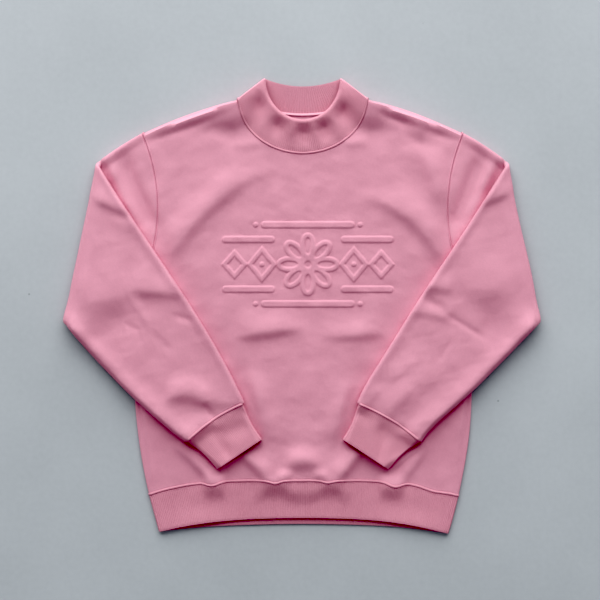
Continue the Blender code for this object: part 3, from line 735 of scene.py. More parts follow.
def ellipse_distance(x, y, half_x, half_y):
    """Roughly the distance to the line of an ellipse."""
    share = np.hypot(x / half_x, y / half_y)
    slope = np.hypot(x / half_x ** 2, y / half_y ** 2) / np.maximum(share, 1e-6)
    return np.abs(share - 1) / np.maximum(slope, 1e-6)


def lozenge_distance(x, y, half_x, half_y):
    scale = math.hypot(half_x, half_y) / (half_x * half_y)
    return np.abs(np.abs(x) / half_x + np.abs(y) / half_y - 1) / scale


def bar_distance(x, y, half_x):
    return np.hypot(np.maximum(np.abs(x) - half_x, 0.0), y)


def design_distance(x, y):
    """Distance to the nearest line of the design: a rosette, lozenges, bars and dots."""
    x = x - DESIGN_CENTER.x
    y = y - DESIGN_CENTER.y
    lines = [np.abs(np.hypot(x, y) - HEART_RADIUS)]
    for petal in range(PETALS):
        turn = math.tau * petal / PETALS
        along = x * math.cos(turn) + y * math.sin(turn)
        across = y * math.cos(turn) - x * math.sin(turn)
        lines.append(ellipse_distance(along - PETAL_PLACE, across, *PETAL_HALVES))
    x = np.abs(x)
    y = np.abs(y)
    lines += [lozenge_distance(x - each.x, y, each.half_x, each.half_y) for each in LOZENGES]
    lines += [bar_distance(x - bar.x, y - bar.y, bar.half_x) - BAR_EXTRA for bar in BARS]
    lines += [np.hypot(x - dot.x, y - dot.y) for dot in DOTS]
    return np.minimum.reduce(lines)


def design_height(x, y, height):
    return height * smooth((STROKE / 2 - design_distance(x, y)) / STROKE_EDGE + 0.5)


# ---------------------------------------------------------------- meshes
def mapped_grid(columns, rows, size, place):
    """A grid of cloth. place(u, v) gives where its points lie; u and v run from 0 to 1.
    size is its width and length, which its UV map is in; without one the UV map is the
    plan of the cut."""
    bm = bmesh.new()
    layer = bm.loops.layers.uv.new("UVMap")
    bmesh.ops.create_grid(bm, x_segments=columns, y_segments=rows, size=0.5, calc_uvs=True)
    flat = np.array([vert.co for vert in bm.verts]) + 0.5
    placed = place(flat[:, 0], flat[:, 1])
    for face in bm.faces:
        for loop in face.loops:
            index = loop.vert.index
            if size:
                loop[layer].uv = (flat[index, 0] * size[0], flat[index, 1] * size[1])
            else:
                loop[layer].uv = (placed[index, 0], placed[index, 1])
    placed[:, 0], placed[:, 1] = laid(placed[:, 0], placed[:, 1])
    for vert, point in zip(bm.verts, placed):
        vert.co = point
    bmesh.ops.remove_doubles(bm, verts=bm.verts, dist=1e-6)
    return bm


def add_object(name, bm, material):
    """Turn a finished bmesh into a smooth-shaded object at the origin."""
    mesh = bpy.data.meshes.new(name)
    bm.to_mesh(mesh)
    bm.free()
    mesh.shade_smooth()
    mesh.materials.append(material)
    piece = bpy.data.objects.new(name, mesh)
    bpy.context.scene.collection.objects.link(piece)
    return piece


def thicken(piece, wall):
    """Give the cloth its wall, with rounded cut edges."""
    solid = piece.modifiers.new("wall", "SOLIDIFY")
    solid.thickness = wall
    solid.offset = 0.0
    solid.use_even_offset = False
    round_off = piece.modifiers.new("rounded_edges", "BEVEL")
    round_off.width = wall * EDGE_ROUNDING
    round_off.segments = 2
    round_off.limit_method = "ANGLE"
    round_off.angle_limit = math.radians(60)
    round_off.use_clamp_overlap = True


def add_tube(name, columns, rows, size, place, material):
    """A tube of cloth, open at both ends, whose last column meets its first."""
    bm = mapped_grid(columns, rows, size, place)
    bmesh.ops.recalc_face_normals(bm, faces=bm.faces)
    piece = add_object(name, bm, material)
    thicken(piece, WALL)
    return piece


Around = namedtuple("Around", "across rise reach upper lower")


def flattened_ring(u, upper_steps, lower_steps, turn_steps):
    """Where a share u of the way round a flattened ring lies. across: 0 to 1 from its
    start edge to its end edge; rise: 1 on the upper layer and -1 on the lower; reach:
    how far past an edge's middle, as a share of the turn's radius."""
    k = u * (upper_steps + lower_steps + 2 * turn_steps)
    upper = np.clip(k / upper_steps, 0, 1)
    first_turn = np.clip((k - upper_steps) / turn_steps, 0, 1) * math.pi
    lower = np.clip((k - upper_steps - turn_steps) / lower_steps, 0, 1)
    last = k - upper_steps - turn_steps - lower_steps
    last_turn = np.clip(last / turn_steps, 0, 1) * math.pi
    rise = np.cos(first_turn + last_turn)
    reach = np.where(last_turn > 0, -np.sin(last_turn), np.sin(first_turn))
    return Around(upper - lower, rise, reach, (1 + rise) / 2, (1 - rise) / 2)


def rib_wave(u, steps, depth):
    """How far a point stands out: on top of a rib or in the groove beside it."""
    return depth / 2 * np.cos(math.tau * u * steps / RIB_FACES)


def seam_path(surface, steps, v=0.002, step=1e-3):
    """Points on the outer face of a tube's wall, round the tube at a share v of its
    length, with the directions along the tube and away from it."""
    u = np.linspace(0, 1, steps + 1)
    v = np.full(steps + 1, v)
    middle = surface(u, v)
    along = unit(surface(u, v + step) - surface(u, v - step))
    around = unit(surface((u + step) % 1.0, v) - surface((u - step) % 1.0, v))
    away = unit(np.cross(around, along))
    if away[np.argmax(middle[:, 2]), 2] < 0:
        away = -away
    return middle + away * WALL / 2, along, away


def add_bead(name, surface, steps, width, height, material):
    """A raised seam round the first ring of a tube: a flattened cord, half sunk into the
    cloth."""
    middle, side, up = seam_path(surface, steps)
    length = np.linalg.norm(np.diff(middle, axis=0), axis=1).sum()

    def place(u, v):
        k = np.rint(v * steps).astype(int)
        spread = (np.cos(math.tau * u) * width / 2)[:, None]
        rise = (np.sin(math.tau * u) * height)[:, None]
        placed = middle[k] + side[k] * spread + up[k] * rise
        placed[:, 2] = np.maximum(placed[:, 2], SEAM)
        return placed

    bm = mapped_grid(BEAD_FACES, steps, (width * BEAD_GIRTH, length), place)
    bmesh.ops.recalc_face_normals(bm, faces=bm.faces)
    return add_object(name, bm, material)


def stitch_line(surface):
    """The line that a row of stitches follows round a tube, with the directions away
    from the tube and the distance run at each point."""
    # how far along the tube a share of its length reaches, on its upper layer
    shares = np.linspace(0, 0.12, 61)
    line = surface(np.full(61, 0.2), shares)
    reach = np.linalg.norm(line - line[0], axis=-1)
    middle, _, away = seam_path(surface, STITCH_STEPS, np.interp(STITCH_INSET, reach, shares))
    middle[:, 0], middle[:, 1] = laid(middle[:, 0], middle[:, 1])
    middle[:, 2] = np.maximum(middle[:, 2], SEAM)
    runs = np.linalg.norm(np.diff(middle, axis=0), axis=1)
    return middle, away, np.concatenate([[0.0], np.cumsum(runs)])


def add_stitches(name, surface, material):
    """A row of stitches round a tube, beside its first ring."""
    middle, away, runs = stitch_line(surface)
    count = round(runs[-1] / STITCH_PITCH)
    run = (np.arange(count) + 0.5) / count * runs[-1]
    step = 0.0005

    def at(values, run):
        return np.stack([np.interp(run, runs, values[:, k]) for k in range(3)], axis=-1)

    ahead = unit(at(middle, run + step) - at(middle, run - step))
    up = unit(at(away, run))
    side = unit(np.cross(up, ahead))
    bm = bmesh.new()
    for center, *axes in zip(at(middle, run), ahead, side, up):
        axes = [Vector(axis) * half for axis, half in zip(axes, STITCH_HALVES)]
        matrix = Matrix(axes).transposed().to_4x4()
        matrix.translation = Vector(center) + axes[2] * STITCH_RISE
        bmesh.ops.create_icosphere(bm, subdivisions=1, radius=1, matrix=matrix)
    return add_object(name, bm, material)


def add_trims(name, surface, steps, material, share=(1.0, 1.0)):
    """The raised seam and the stitches beside it, round a tube's first ring. share: of
    the usual width and height of a seam."""
    cloth = bpy.context.scene.sweatshirt_cloth
    seam = add_bead(name + "_seam", surface, steps, cloth.bead_width * share[0],
                    cloth.bead_height * share[1], material)
    return seam, add_stitches(name + "_stitches", surface, thread_material())


# ---------------------------------------------------------------- node helpers
def add_node(tree, kind, inputs=None, **settings):
    """A node with its settings, and its inputs set or linked."""
    node = tree.nodes.new(kind)
    for name, value in settings.items():
        setattr(node, name, value)
    for name, value in (inputs or {}).items():
        if isinstance(value, bpy.types.NodeSocket):
            tree.links.new(value, node.inputs[name])
        else:
            node.inputs[name].default_value = value
    return node


def add_math(tree, operation, *values):
    node = add_node(tree, "ShaderNodeMath", operation=operation)
    for socket, value in zip(node.inputs, values):
        if isinstance(value, bpy.types.NodeSocket):
            tree.links.new(value, socket)
        else:
            socket.default_value = value
    return node.outputs[0]


def new_group(name, inputs, outputs):
    """A shader node group. inputs and outputs: (name, socket type, default) rows."""
    group = bpy.data.node_groups.new(name, "ShaderNodeTree")
    for label, kind, default in inputs:
        socket = group.interface.new_socket(label, in_out="INPUT", socket_type=kind)
        if default is not None:
            socket.default_value = default
    for label, kind in outputs:
        group.interface.new_socket(label, in_out="OUTPUT", socket_type=kind)
    ends = (group.nodes.new("NodeGroupInput"), group.nodes.new("NodeGroupOutput"))
    return group, ends[0].outputs, ends[1].inputs


KNIT_SLANT = 1.4         # how steep the arms of a knitted V are
CLOTH_SHADES = (0.955, 1.045)    # a cloth's darkest and lightest patches, as shares


def knit_group(name):
    """Columns of small V-shaped stitches, read from a UV map in metres."""
    group, given, result = new_group(
        name,
        [("Vector", "NodeSocketVector", None), ("Wale", "NodeSocketFloat", 0.0012),
         ("Course", "NodeSocketFloat", 0.0010)],
        [("Height", "NodeSocketFloat")])
    split = add_node(group, "ShaderNodeSeparateXYZ", {"Vector": given["Vector"]})
    column = add_math(group, "DIVIDE", split.outputs["X"], given["Wale"])
    cell = add_math(group, "FRACT", column)
    from_middle = add_math(group, "ABSOLUTE", add_math(group, "SUBTRACT", cell, 0.5))
    row = add_math(group, "DIVIDE", split.outputs["Y"], given["Course"])
    slanted = add_math(group, "ADD", row, add_math(group, "MULTIPLY", from_middle, KNIT_SLANT))
    strand = add_math(group, "SINE", add_math(group, "MULTIPLY", slanted, math.tau))
    strand = add_math(group, "MULTIPLY_ADD", strand, 0.5, 0.5)
    yarn = add_math(group, "SINE", add_math(group, "MULTIPLY", from_middle, math.tau))
    height = add_math(group, "MULTIPLY", yarn, add_math(group, "MULTIPLY_ADD", strand, 0.5, 0.5))
    group.links.new(height, result["Height"])
    return group


def add_noise(tree, vector, scale, detail, roughness, distortion=0.0):
    noise = add_node(tree, "ShaderNodeTexNoise",
                     {"Vector": vector, "Scale": scale, "Detail": detail,
                      "Roughness": roughness, "Distortion": distortion})
    return noise.outputs["Fac"]


def nap_group(name):
    """Short brushed fibres: a fine uneven height, and a mask of fuller patches."""
    group, given, result = new_group(
        name,
        [("Vector", "NodeSocketVector", None), ("Fibre scale", "NodeSocketFloat", 900.0),
         ("Patch scale", "NodeSocketFloat", 60.0)],
        [("Height", "NodeSocketFloat"), ("Patches", "NodeSocketFloat")])
    fibres = add_noise(group, given["Vector"], given["Fibre scale"], 3.0, 0.65, 0.6)
    patches = add_noise(group, given["Vector"], given["Patch scale"], 4.0, 0.6)
    group.links.new(fibres, result["Height"])
    group.links.new(patches, result["Patches"])
    return group


def add_mix(tree, factor, a, b):
    """A mix of two colours."""
    mix = add_node(tree, "ShaderNodeMix", {"Factor": factor}, data_type="RGBA")
    for socket, color in zip(mix.inputs[6:8], (a, b)):
        if isinstance(color, bpy.types.NodeSocket):
            tree.links.new(color, socket)
        else:
            socket.default_value = color
    return mix.outputs[2]


def mottle_group(name):
    """A colour that varies softly, in large clouds and small flecks."""
    group, given, result = new_group(
        name,
        [("Vector", "NodeSocketVector", None), ("Dark", "NodeSocketColor", None),
         ("Light", "NodeSocketColor", None), ("Cloud scale", "NodeSocketFloat", 9.0),
         ("Fleck scale", "NodeSocketFloat", 400.0), ("Fleck share", "NodeSocketFloat", 0.4)],
        [("Color", "NodeSocketColor")])
    clouds = add_noise(group, given["Vector"], given["Cloud scale"], 5.0, 0.55)
    flecks = add_noise(group, given["Vector"], given["Fleck scale"], 2.0, 0.5)
    blend = add_node(group, "ShaderNodeMix",
                     {"Factor": given["Fleck share"], "A": clouds, "B": flecks},
                     data_type="FLOAT")
    spread = add_node(group, "ShaderNodeMapRange",
                      {"Value": blend.outputs[0], "From Min": 0.32, "From Max": 0.68})
    color = add_mix(group, spread.outputs["Result"], given["Dark"], given["Light"])
    group.links.new(color, result["Color"])
    return group


GROUPS = {"knit_stitches": knit_group, "nap": nap_group, "mottle": mottle_group}


def place_group(tree, name, inputs):
    """Place a shared node group, which is built the first time."""
    group = bpy.data.node_groups.get(name) or GROUPS[name](name)
    return add_node(tree, "ShaderNodeGroup", inputs, node_tree=group).outputs


def shaded(color, share):
    """A colour as four numbers, darker or lighter by a share."""
    return tuple(min(channel * share, 1.0) for channel in color) + (1.0,)


def add_tint(tree, coords, color, dark, light, **scales):
    """A colour that varies softly between a darker and a lighter shade of it."""
    inputs = {"Vector": coords["Object"], "Dark": shaded(color, dark),
              "Light": shaded(color, light)}
    for name, scale in scales.items():
        inputs[name.replace("_", " ")] = scale
    return place_group(tree, "mottle", inputs)["Color"]


def new_material(name, roughness, sheen=0.0, sheen_tint=(1.0, 1.0, 1.0)):
    """A material with its coordinates and its shader's inputs."""
    material = bpy.data.materials.new(name)
    material.use_nodes = True
    tree = material.node_tree
    surface = tree.nodes["Principled BSDF"].inputs
    surface["Roughness"].default_value = roughness
    surface["Specular IOR Level"].default_value = 0.25
    surface["Sheen Weight"].default_value = sheen
    surface["Sheen Roughness"].default_value = 0.5
    surface["Sheen Tint"].default_value = (*sheen_tint, 1.0)
    return material, tree, add_node(tree, "ShaderNodeTexCoord").outputs, surface


def add_bump(tree, height, strength, distance, surface):
    bump = add_node(tree, "ShaderNodeBump",
                    {"Strength": strength, "Distance": distance, "Height": height})
    tree.links.new(bump.outputs["Normal"], surface["Normal"])


def cloth_material(name, color, wale, course, knit_bump, nap_bump, sheen):
    """Knitted cotton with a soft nap. wale and course: width and height of a stitch;
    knit_bump and nap_bump: shares of the stitches and the fibres in its relief."""
    found = bpy.data.materials.get(name)
    if found:
        return found
    material, tree, coords, surface = new_material(name, 0.95, sheen, (1.0, 0.86, 0.90))
    material.diffuse_color = (*color, 1.0)
    knit = place_group(tree, "knit_stitches",
                       {"Vector": coords["UV"], "Wale": wale, "Course": course})
    nap = place_group(tree, "nap", {"Vector": coords["Object"]})
    height = add_math(tree, "MULTIPLY_ADD", knit["Height"], knit_bump,
                      add_math(tree, "MULTIPLY", nap["Height"], nap_bump))
    rough = add_node(tree, "ShaderNodeMapRange",
                     {"Value": nap["Patches"], "To Min": 0.86, "To Max": 1.0})
    tree.links.new(add_tint(tree, coords, color, *CLOTH_SHADES), surface["Base Color"])
    tree.links.new(rough.outputs["Result"], surface["Roughness"])
    add_bump(tree, height, 0.6, 0.0006, surface)
    return material


def fleece_material():
    cloth = bpy.context.scene.sweatshirt_cloth
    return cloth_material("brushed_fleece", cloth.fleece_color, wale=0.0013, course=0.0010,
                          knit_bump=0.55, nap_bump=0.75, sheen=0.12)


def rib_material():
    cloth = bpy.context.scene.sweatshirt_cloth
    return cloth_material("knitted_rib", cloth.rib_color, wale=0.0014, course=0.0012,
                          knit_bump=0.8, nap_bump=0.35, sheen=0.12)


def tape_material():
    cloth = bpy.context.scene.sweatshirt_cloth
    return cloth_material("woven_tape", cloth.tape_color, wale=0.0011, course=0.0016,
                          knit_bump=1.0, nap_bump=0.2, sheen=0.15)


def seam_material():
    cloth = bpy.context.scene.sweatshirt_cloth
    return cloth_material("seam_rib", cloth.rib_color, wale=0.0011, course=0.0011,
                          knit_bump=0.7, nap_bump=0.4, sheen=0.3)


def thread_material():
    """Spun thread: pale, with a fine twist."""
    found = bpy.data.materials.get("thread")
    if found:
        return found
    material, tree, coords, surface = new_material("thread", 0.55, 0.2)
    color = bpy.context.scene.sweatshirt_cloth.thread_color
    tree.links.new(add_tint(tree, coords, color, 0.92, 1.06), surface["Base Color"])
    add_bump(tree, add_noise(tree, coords["Object"], 2600.0, 1.0, 0.5), 0.5, 0.0001, surface)
    return material


def floor_material():
    """Smooth pale plaster with faint clouds and a few pits."""
    material, tree, coords, surface = new_material("plaster_floor", 0.8)
    color = bpy.context.scene.sweatshirt_stage.floor_color
    tint = add_tint(tree, coords, color, 0.95, 1.05, Cloud_scale=3.5, Fleck_scale=120.0,
                    Fleck_share=0.25)
    pits = add_node(tree, "ShaderNodeTexVoronoi", {"Vector": coords["Object"], "Scale": 14.0})
    pit = add_node(tree, "ShaderNodeMapRange",
                   {"Value": pits.outputs["Distance"], "From Min": 0.012, "From Max": 0.030})
    pitted = add_mix(tree, pit.outputs["Result"], shaded(color, 0.72), tint)
    tree.links.new(pitted, surface["Base Color"])
    return material


# ---------------------------------------------------------------- the body
def column_shares():
    """Places of the body's columns, from -1 to 1 across its width. One of them ends at
    each neck corner."""
    corner = NECK_CORNER.x / SHOULDER.x
    neck = corner * np.linspace(-1, 1, NECK_COLUMNS + 1)
    outer = np.linspace(corner, 1, SHOULDER_COLUMNS + 1)[1:]
    return np.concatenate([-outer[::-1], neck, outer])


def panel_surface(neck_drop, hem_seam_middle, height, turns, rows):
    """Where the front or the back lies. turns: whether its sides and shoulders turn down
    to the floor, or stop short of the other panel's turned edge."""
    shares = column_shares()
    last = len(shares) - 1
    columns = last + 2 * TURN_STEPS

    def place(u, v):
        i = u * columns - TURN_STEPS
        j = v * (rows + TURN_STEPS)
        a = np.interp(np.clip(i, 0, last), np.arange(last + 1), shares)
        beside = np.clip(np.maximum(-i, i - last) / TURN_STEPS, 0, 1)
        above = np.clip((j - rows) / TURN_STEPS, 0, 1)
        t = np.clip(j / rows, 0, 1)
        y_edge = lerp(HEM_SEAM_CORNER.y, SHOULDER.y, t)
        on_side = smooth((UNDERARM.y - y_edge) / SIDE_BLEND)
        half = np.where(y_edge < UNDERARM.y, side_half(y_edge), armhole_half(y_edge) - SEAM / 2)
        x_top = a * SHOULDER.x
        in_neck = np.abs(x_top) < NECK_CORNER.x - 1e-6
        top = np.where(in_neck, neck_y(x_top, neck_drop), shoulder_y(np.abs(x_top)))
        x = a * (half - EDGE_REACH)
        y = lerp(hem_seam_y(a, hem_seam_middle), top - EDGE_REACH, t)
        outward = np.sign(i - last / 2)
        to_side = outward * beside * EDGE_REACH
        to_top = above * EDGE_REACH
        if not turns:
            x = x + to_side * (1 - on_side) - SEAM * np.sign(to_side) * on_side
            y = y + np.where(in_neck, to_top, -SEAM * above)
            return points(x, y, height(x, y))
        z = height(x + to_side, y + to_top)
        # turned down along the sides and the shoulders, flat at the armholes and the neck
        side_share = on_side * (beside > 0)
        side_angle = beside * math.pi
        turned_x = x + outward * EDGE_TURN * np.sin(side_angle)
        z = lerp(z, EDGE_MIDDLE_Z + EDGE_TURN * np.cos(side_angle), side_share)
        top_share = ~in_neck * (above > 0)
        top_angle = above * math.pi
        turned_y = y + EDGE_TURN * np.sin(top_angle)
        z = lerp(z, EDGE_MIDDLE_Z + EDGE_TURN * np.cos(top_angle), top_share)
        return points(lerp(x + to_side, turned_x, side_share),
                      lerp(y + to_top, turned_y, top_share), z)

    return place, columns, rows + TURN_STEPS


def past_neck(x, y):
    """How far a point lies past the front's neck seam, below 0 inside the neck, and the
    direction away from it."""
    half = NECK_CORNER.x / SHOULDER.x * (SHOULDER.x - EDGE_REACH)
    y = y - NECK_CORNER.y
    share = np.maximum(np.hypot(x / half, y / FRONT_NECK_DROP), 1e-6)
    slope_x = x / half ** 2 / share
    slope_y = y / FRONT_NECK_DROP ** 2 / share
    slope = np.hypot(slope_x, slope_y)
    return (share - 1) / slope, slope_x / slope, slope_y / slope


def cut_neck(bm):
    """Cut the neck opening out of the front: points close to the seam move onto it, and
    what lies inside goes."""
    co = np.array([vert.co for vert in bm.verts])
    x, y = co[:, 0], co[:, 1]
    flat = y < NECK_CORNER.y - EDGE_REACH + 1e-4
    close = flat & (np.abs(past_neck(x, y)[0]) < NECK_SNAP)
    for _ in range(3):
        past, away_x, away_y = past_neck(x, y)
        x = np.where(close, x - past * away_x, x)
        y = np.where(close, y - past * away_y, y)
    z = np.where(close, front_z(x, y), co[:, 2])
    inside = ~close & (past_neck(x, y)[0] < -1e-5)
    for vert, point in zip(bm.verts, points(x, y, z)):
        vert.co = point
    for face in list(bm.faces):
        gone = [k for k, vert in enumerate(face.verts) if inside[vert.index]]
        if len(gone) == 1 and len(face.verts) == 4:
            k = gone[0]
            bmesh.utils.face_split(face, face.verts[k - 1], face.verts[(k + 1) % 4])
    middles = [face.calc_center_median() for face in bm.faces]
    doomed = [face for face, middle in zip(bm.faces, middles)
              if any(inside[vert.index] for vert in face.verts)
              or (past_neck(middle.x, middle.y)[0] < -1e-5
                  and all(close[vert.index] for vert in face.verts))]
    bmesh.ops.delete(bm, geom=doomed, context="FACES")


def emboss(bm, height):
    """Raise the chest design out of the cloth, over finer faces. No shift of the lay
    reaches it."""
    centers = np.array([face.calc_center_median() for face in bm.faces])
    past_line = design_distance(centers[:, 0], centers[:, 1]) - STROKE / 2 - STROKE_EDGE
    near = past_line < DESIGN_MARGIN
    bm.faces.index_update()
    edges = [edge for edge in bm.edges if any(near[face.index] for face in edge.link_faces)]
    bmesh.ops.subdivide_edges(bm, edges=edges, cuts=2, use_grid_fill=True)
    co = np.array([vert.co for vert in bm.verts])
    raised = design_height(co[:, 0], co[:, 1], height)
    inside = (raised > 0) | (design_distance(co[:, 0], co[:, 1]) < DESIGN_REACH)
    z = np.where(inside, front_z(co[:, 0], co[:, 1]), co[:, 2]) + raised
    for vert, vert_z in zip(bm.verts, z):
        vert.co.z = vert_z


class SWEATSHIRT_OT_back_panel(Operator):
    """Make the back panel, which lies flat on the floor"""

    bl_idname = "sweatshirt.back_panel"
    bl_label = "Back panel"

    def execute(self, context):
        def height(x, y):
            return np.full(np.shape(x), BACK_Z)

        place, columns, rows = panel_surface(BACK_NECK_DROP, BACK_HEM_SEAM_Y, height, False,
                                             BACK_ROWS)
        bm = mapped_grid(columns, rows, None, place)
        piece = add_object("back_cloth", bm, fleece_material())
        thicken(piece, WALL)
        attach(piece, "root")
        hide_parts("back_panel")
        return {"FINISHED"}


class SWEATSHIRT_OT_front_panel(Operator):
    """Make the front panel with its folds and the embossed chest design"""

    bl_idname = "sweatshirt.front_panel"
    bl_label = "Front panel"

    def execute(self, context):
        # its grid runs straight across the neck, which is cut out afterwards
        place, columns, rows = panel_surface(0.0, FRONT_HEM_SEAM_Y, front_z, True, BODY_ROWS)
        bm = mapped_grid(columns, rows, None, place)
        cut_neck(bm)
        emboss(bm, context.scene.sweatshirt_cloth.emboss_height)
        piece = add_object("front_cloth", bm, fleece_material())
        thicken(piece, WALL)
        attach(piece, "root")
        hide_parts("front_panel")
        return {"FINISHED"}


# ---------------------------------------------------------------- the hem band
def edge_tube(x, y, top, ring, rib):
    """Points of a tube that turns at the body's side edges. top: height of its upper
    layer; rib: how far a rib stands out."""
    turn = EDGE_TURN + rib
    z = EDGE_MIDDLE_Z + turn * ring.rise + np.maximum(top - EDGE_Z, 0.0) * ring.upper
    return points(x + turn * ring.reach, y, z)


def hem_surface(ribs, rib_depth):
    """Where the rib band lies: its back edge hangs a little below its front edge."""
    steps = ribs * RIB_FACES
    total = 2 * (steps + RIB_FACES * 2)

    def place(u, v):
        ring = flattened_ring(u, steps, steps, RIB_FACES * 2)
        a = 2 * ring.across - 1
        x = a * (lerp(HEM_SEAM_CORNER.x, HEM_CORNER.x, v) - EDGE_REACH)
        front_y = lerp(hem_seam_y(a, FRONT_HEM_SEAM_Y) - SEAM, hem_y(a, FRONT_HEM_Y), v)
        back_y = lerp(hem_seam_y(a, BACK_HEM_SEAM_Y) - SEAM, hem_y(a, BACK_HEM_Y), v)
        flare = np.exp(-((np.abs(a) - HEM_FLARE_PLACE) / HEM_FLARE_REACH) ** 2)
        lift = HEM_LIFT * v * (1 - a * a) + HEM_FLARE * smooth((v - 0.5) / 0.5) * flare
        return edge_tube(x, lerp(back_y, front_y, ring.upper), front_z(x, front_y) + lift,
                         ring, rib_wave(u, total, rib_depth))

    return place, total


class SWEATSHIRT_OT_hem_band(Operator):
    """Make the rib band round the hem, its seam and its stitches"""

    bl_idname = "sweatshirt.hem_band"
    bl_label = "Hem band"

    def execute(self, context):
        cloth = context.scene.sweatshirt_cloth
        place, columns = hem_surface(cloth.hem_ribs, cloth.rib_depth)
        piece = add_tube("hem_rib", columns, HEM_ROWS, (0.95, 0.06), place, rib_material())
        plain, _ = hem_surface(cloth.hem_ribs, 0.0)
        seam, stitches = add_trims("hem", plain, BEAD_STEPS["hem"], seam_material())
        for each in (piece, seam, stitches):
            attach(each, "root")
        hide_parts("hem_band")
        return {"FINISHED"}


# ---------------------------------------------------------------- the collar
def dents_at(degrees):
    return sum(dent.height * np.exp(-((degrees - dent.around) / dent.width) ** 2)
               for dent in COLLAR_DENTS)


def collar_surface(ribs, rib_depth):
    """Where the short standing neck lies: its back flat, its front standing open."""
    front_steps = ribs * RIB_FACES
    back_steps = round(ribs * BACK_RIBS) * RIB_FACES
    total = front_steps + back_steps + RIB_FACES * 4

    def place(u, v):
        ring = flattened_ring(u, front_steps, back_steps, RIB_FACES * 2)
        angle = (ring.across - 0.5) * math.pi
        down = np.cos(angle)
        corner_y = lerp(NECK_CORNER.y + SEAM, COLLAR_CORNER.y, v)
        front_y = corner_y - lerp(FRONT_NECK_DROP, FRONT_COLLAR_DROP, v) * down
        back_y = corner_y - lerp(BACK_NECK_DROP, BACK_COLLAR_DROP, v) * down * down
        x = np.sin(angle) * (lerp(NECK_CORNER.x - SEAM, COLLAR_CORNER.x, v) - EDGE_REACH)
        dents = dents_at(np.degrees(angle)) * smooth((1 - v) / DENT_RISE)
        dents = np.maximum(dents * smooth(v / DENT_FOOT), -DENT_LIMIT)
        curl = COLLAR_CURL * np.clip(1 - (1 - v) / CURL_SHARE, 0, 1) ** 2
        lift = v * COLLAR_LIFT * np.sqrt(down) + dents - curl
        placed = edge_tube(x, lerp(back_y, front_y, ring.upper),
                           front_z(x, front_y) + np.maximum(lift, -COLLAR_SINK), ring,
                           rib_wave(u, total, rib_depth))
        placed[:, 2] += COLLAR_BACK_LIFT * v * down * ring.lower
        return placed

    return place, total


class SWEATSHIRT_OT_collar(Operator):
    """Make the ribbed mock neck, its seam and its stitches"""

    bl_idname = "sweatshirt.collar"
    bl_label = "Collar"

    def execute(self, context):
        cloth = context.scene.sweatshirt_cloth
        place, columns = collar_surface(cloth.collar_ribs, cloth.rib_depth)
        piece = add_tube("collar_rib", columns, COLLAR_ROWS, (0.50, 0.054), place,
                         rib_material())
        plain, _ = collar_surface(cloth.collar_ribs, 0.0)
        seam, stitches = add_trims("neck", plain, BEAD_STEPS["neck"], seam_material())
        for each in (piece, seam, stitches):
            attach(each, "root")
        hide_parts("collar")
        return {"FINISHED"}


class SWEATSHIRT_OT_neck_tape(Operator):
    """Make the strip that covers the neck seam inside the back"""

    bl_idname = "sweatshirt.neck_tape"
    bl_label = "Neck tape"

    def execute(self, context):
        def place(u, v):
            x = lerp(-TAPE_HALF, TAPE_HALF, u)
            y = neck_y(x, BACK_NECK_DROP) + lerp(-TAPE_BELOW, 1 - TAPE_BELOW, v) * TAPE_WIDTH
            z = WALL + SEAM + TAPE_WALL / 2 + sum(
                ridge.height * np.exp(-((v - ridge.place) / ridge.width) ** 2)
                for ridge in TAPE_RIDGES)
            return points(x, y, z)

        bm = mapped_grid(60, 6, (2 * TAPE_HALF, TAPE_WIDTH), place)
        piece = add_object("neck_tape_cloth", bm, tape_material())
        thicken(piece, TAPE_WALL)
        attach(piece, "root")
        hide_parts("neck_tape")
        return {"FINISHED"}


# ---------------------------------------------------------------- the sleeves
class SleevePlan:
    """One sleeve's lines in plan. side is 1 at the wearer's left and -1 at the right."""

    def __init__(self, side):
        self.side = side
        self.tip = self.place(SLEEVE_TIP)
        self.elbow = self.place(ELBOW)
        fold = ELBOW - SLEEVE_TIP
        self.outward = self.place(Vector((-fold.y, fold.x))).normalized()
        self.axis = (self.tip - self.outward * FOLD_REACH,
                     self.elbow - self.outward * FOLD_REACH)
        self.cuff = (self.place(CUFF_SEAM_IN), self.place(CUFF_SEAM_OUT))
        self.across = (self.cuff[1] - self.cuff[0]).normalized()    # from its inner edge
        self.along = Vector((self.across.y * side, -self.across.x * side))
        self.before = (self.crossing(self.place(SHOULDER), self.tip),
                       self.crossing(self.place(UNDERARM), self.elbow))
        self.after = (self.crossing(self.cuff[0], self.tip),
                      self.crossing(self.cuff[1], self.elbow))

    def place(self, point):
        return Vector((point.x * self.side, point.y))

    def crossing(self, start, end):
        """Where an edge of the sleeve crosses the axis of its fold."""
        along = (self.axis[1] - self.axis[0]).normalized() * 0.05
        return intersect_line_line_2d(self.axis[0] - along, self.axis[1] + along,
                                      start, end + (end - start))


def between(start, end, t):
    """Points of the line from start to end, as coordinates."""
    return lerp(start[0], end[0], t), lerp(start[1], end[1], t)


def drawn_in(across, turn, width):
    """Shares across a tube of this width that leave room for the turns at its edges."""
    inset = (turn + WALL / 2) / width
    return lerp(inset, 1 - inset, across)


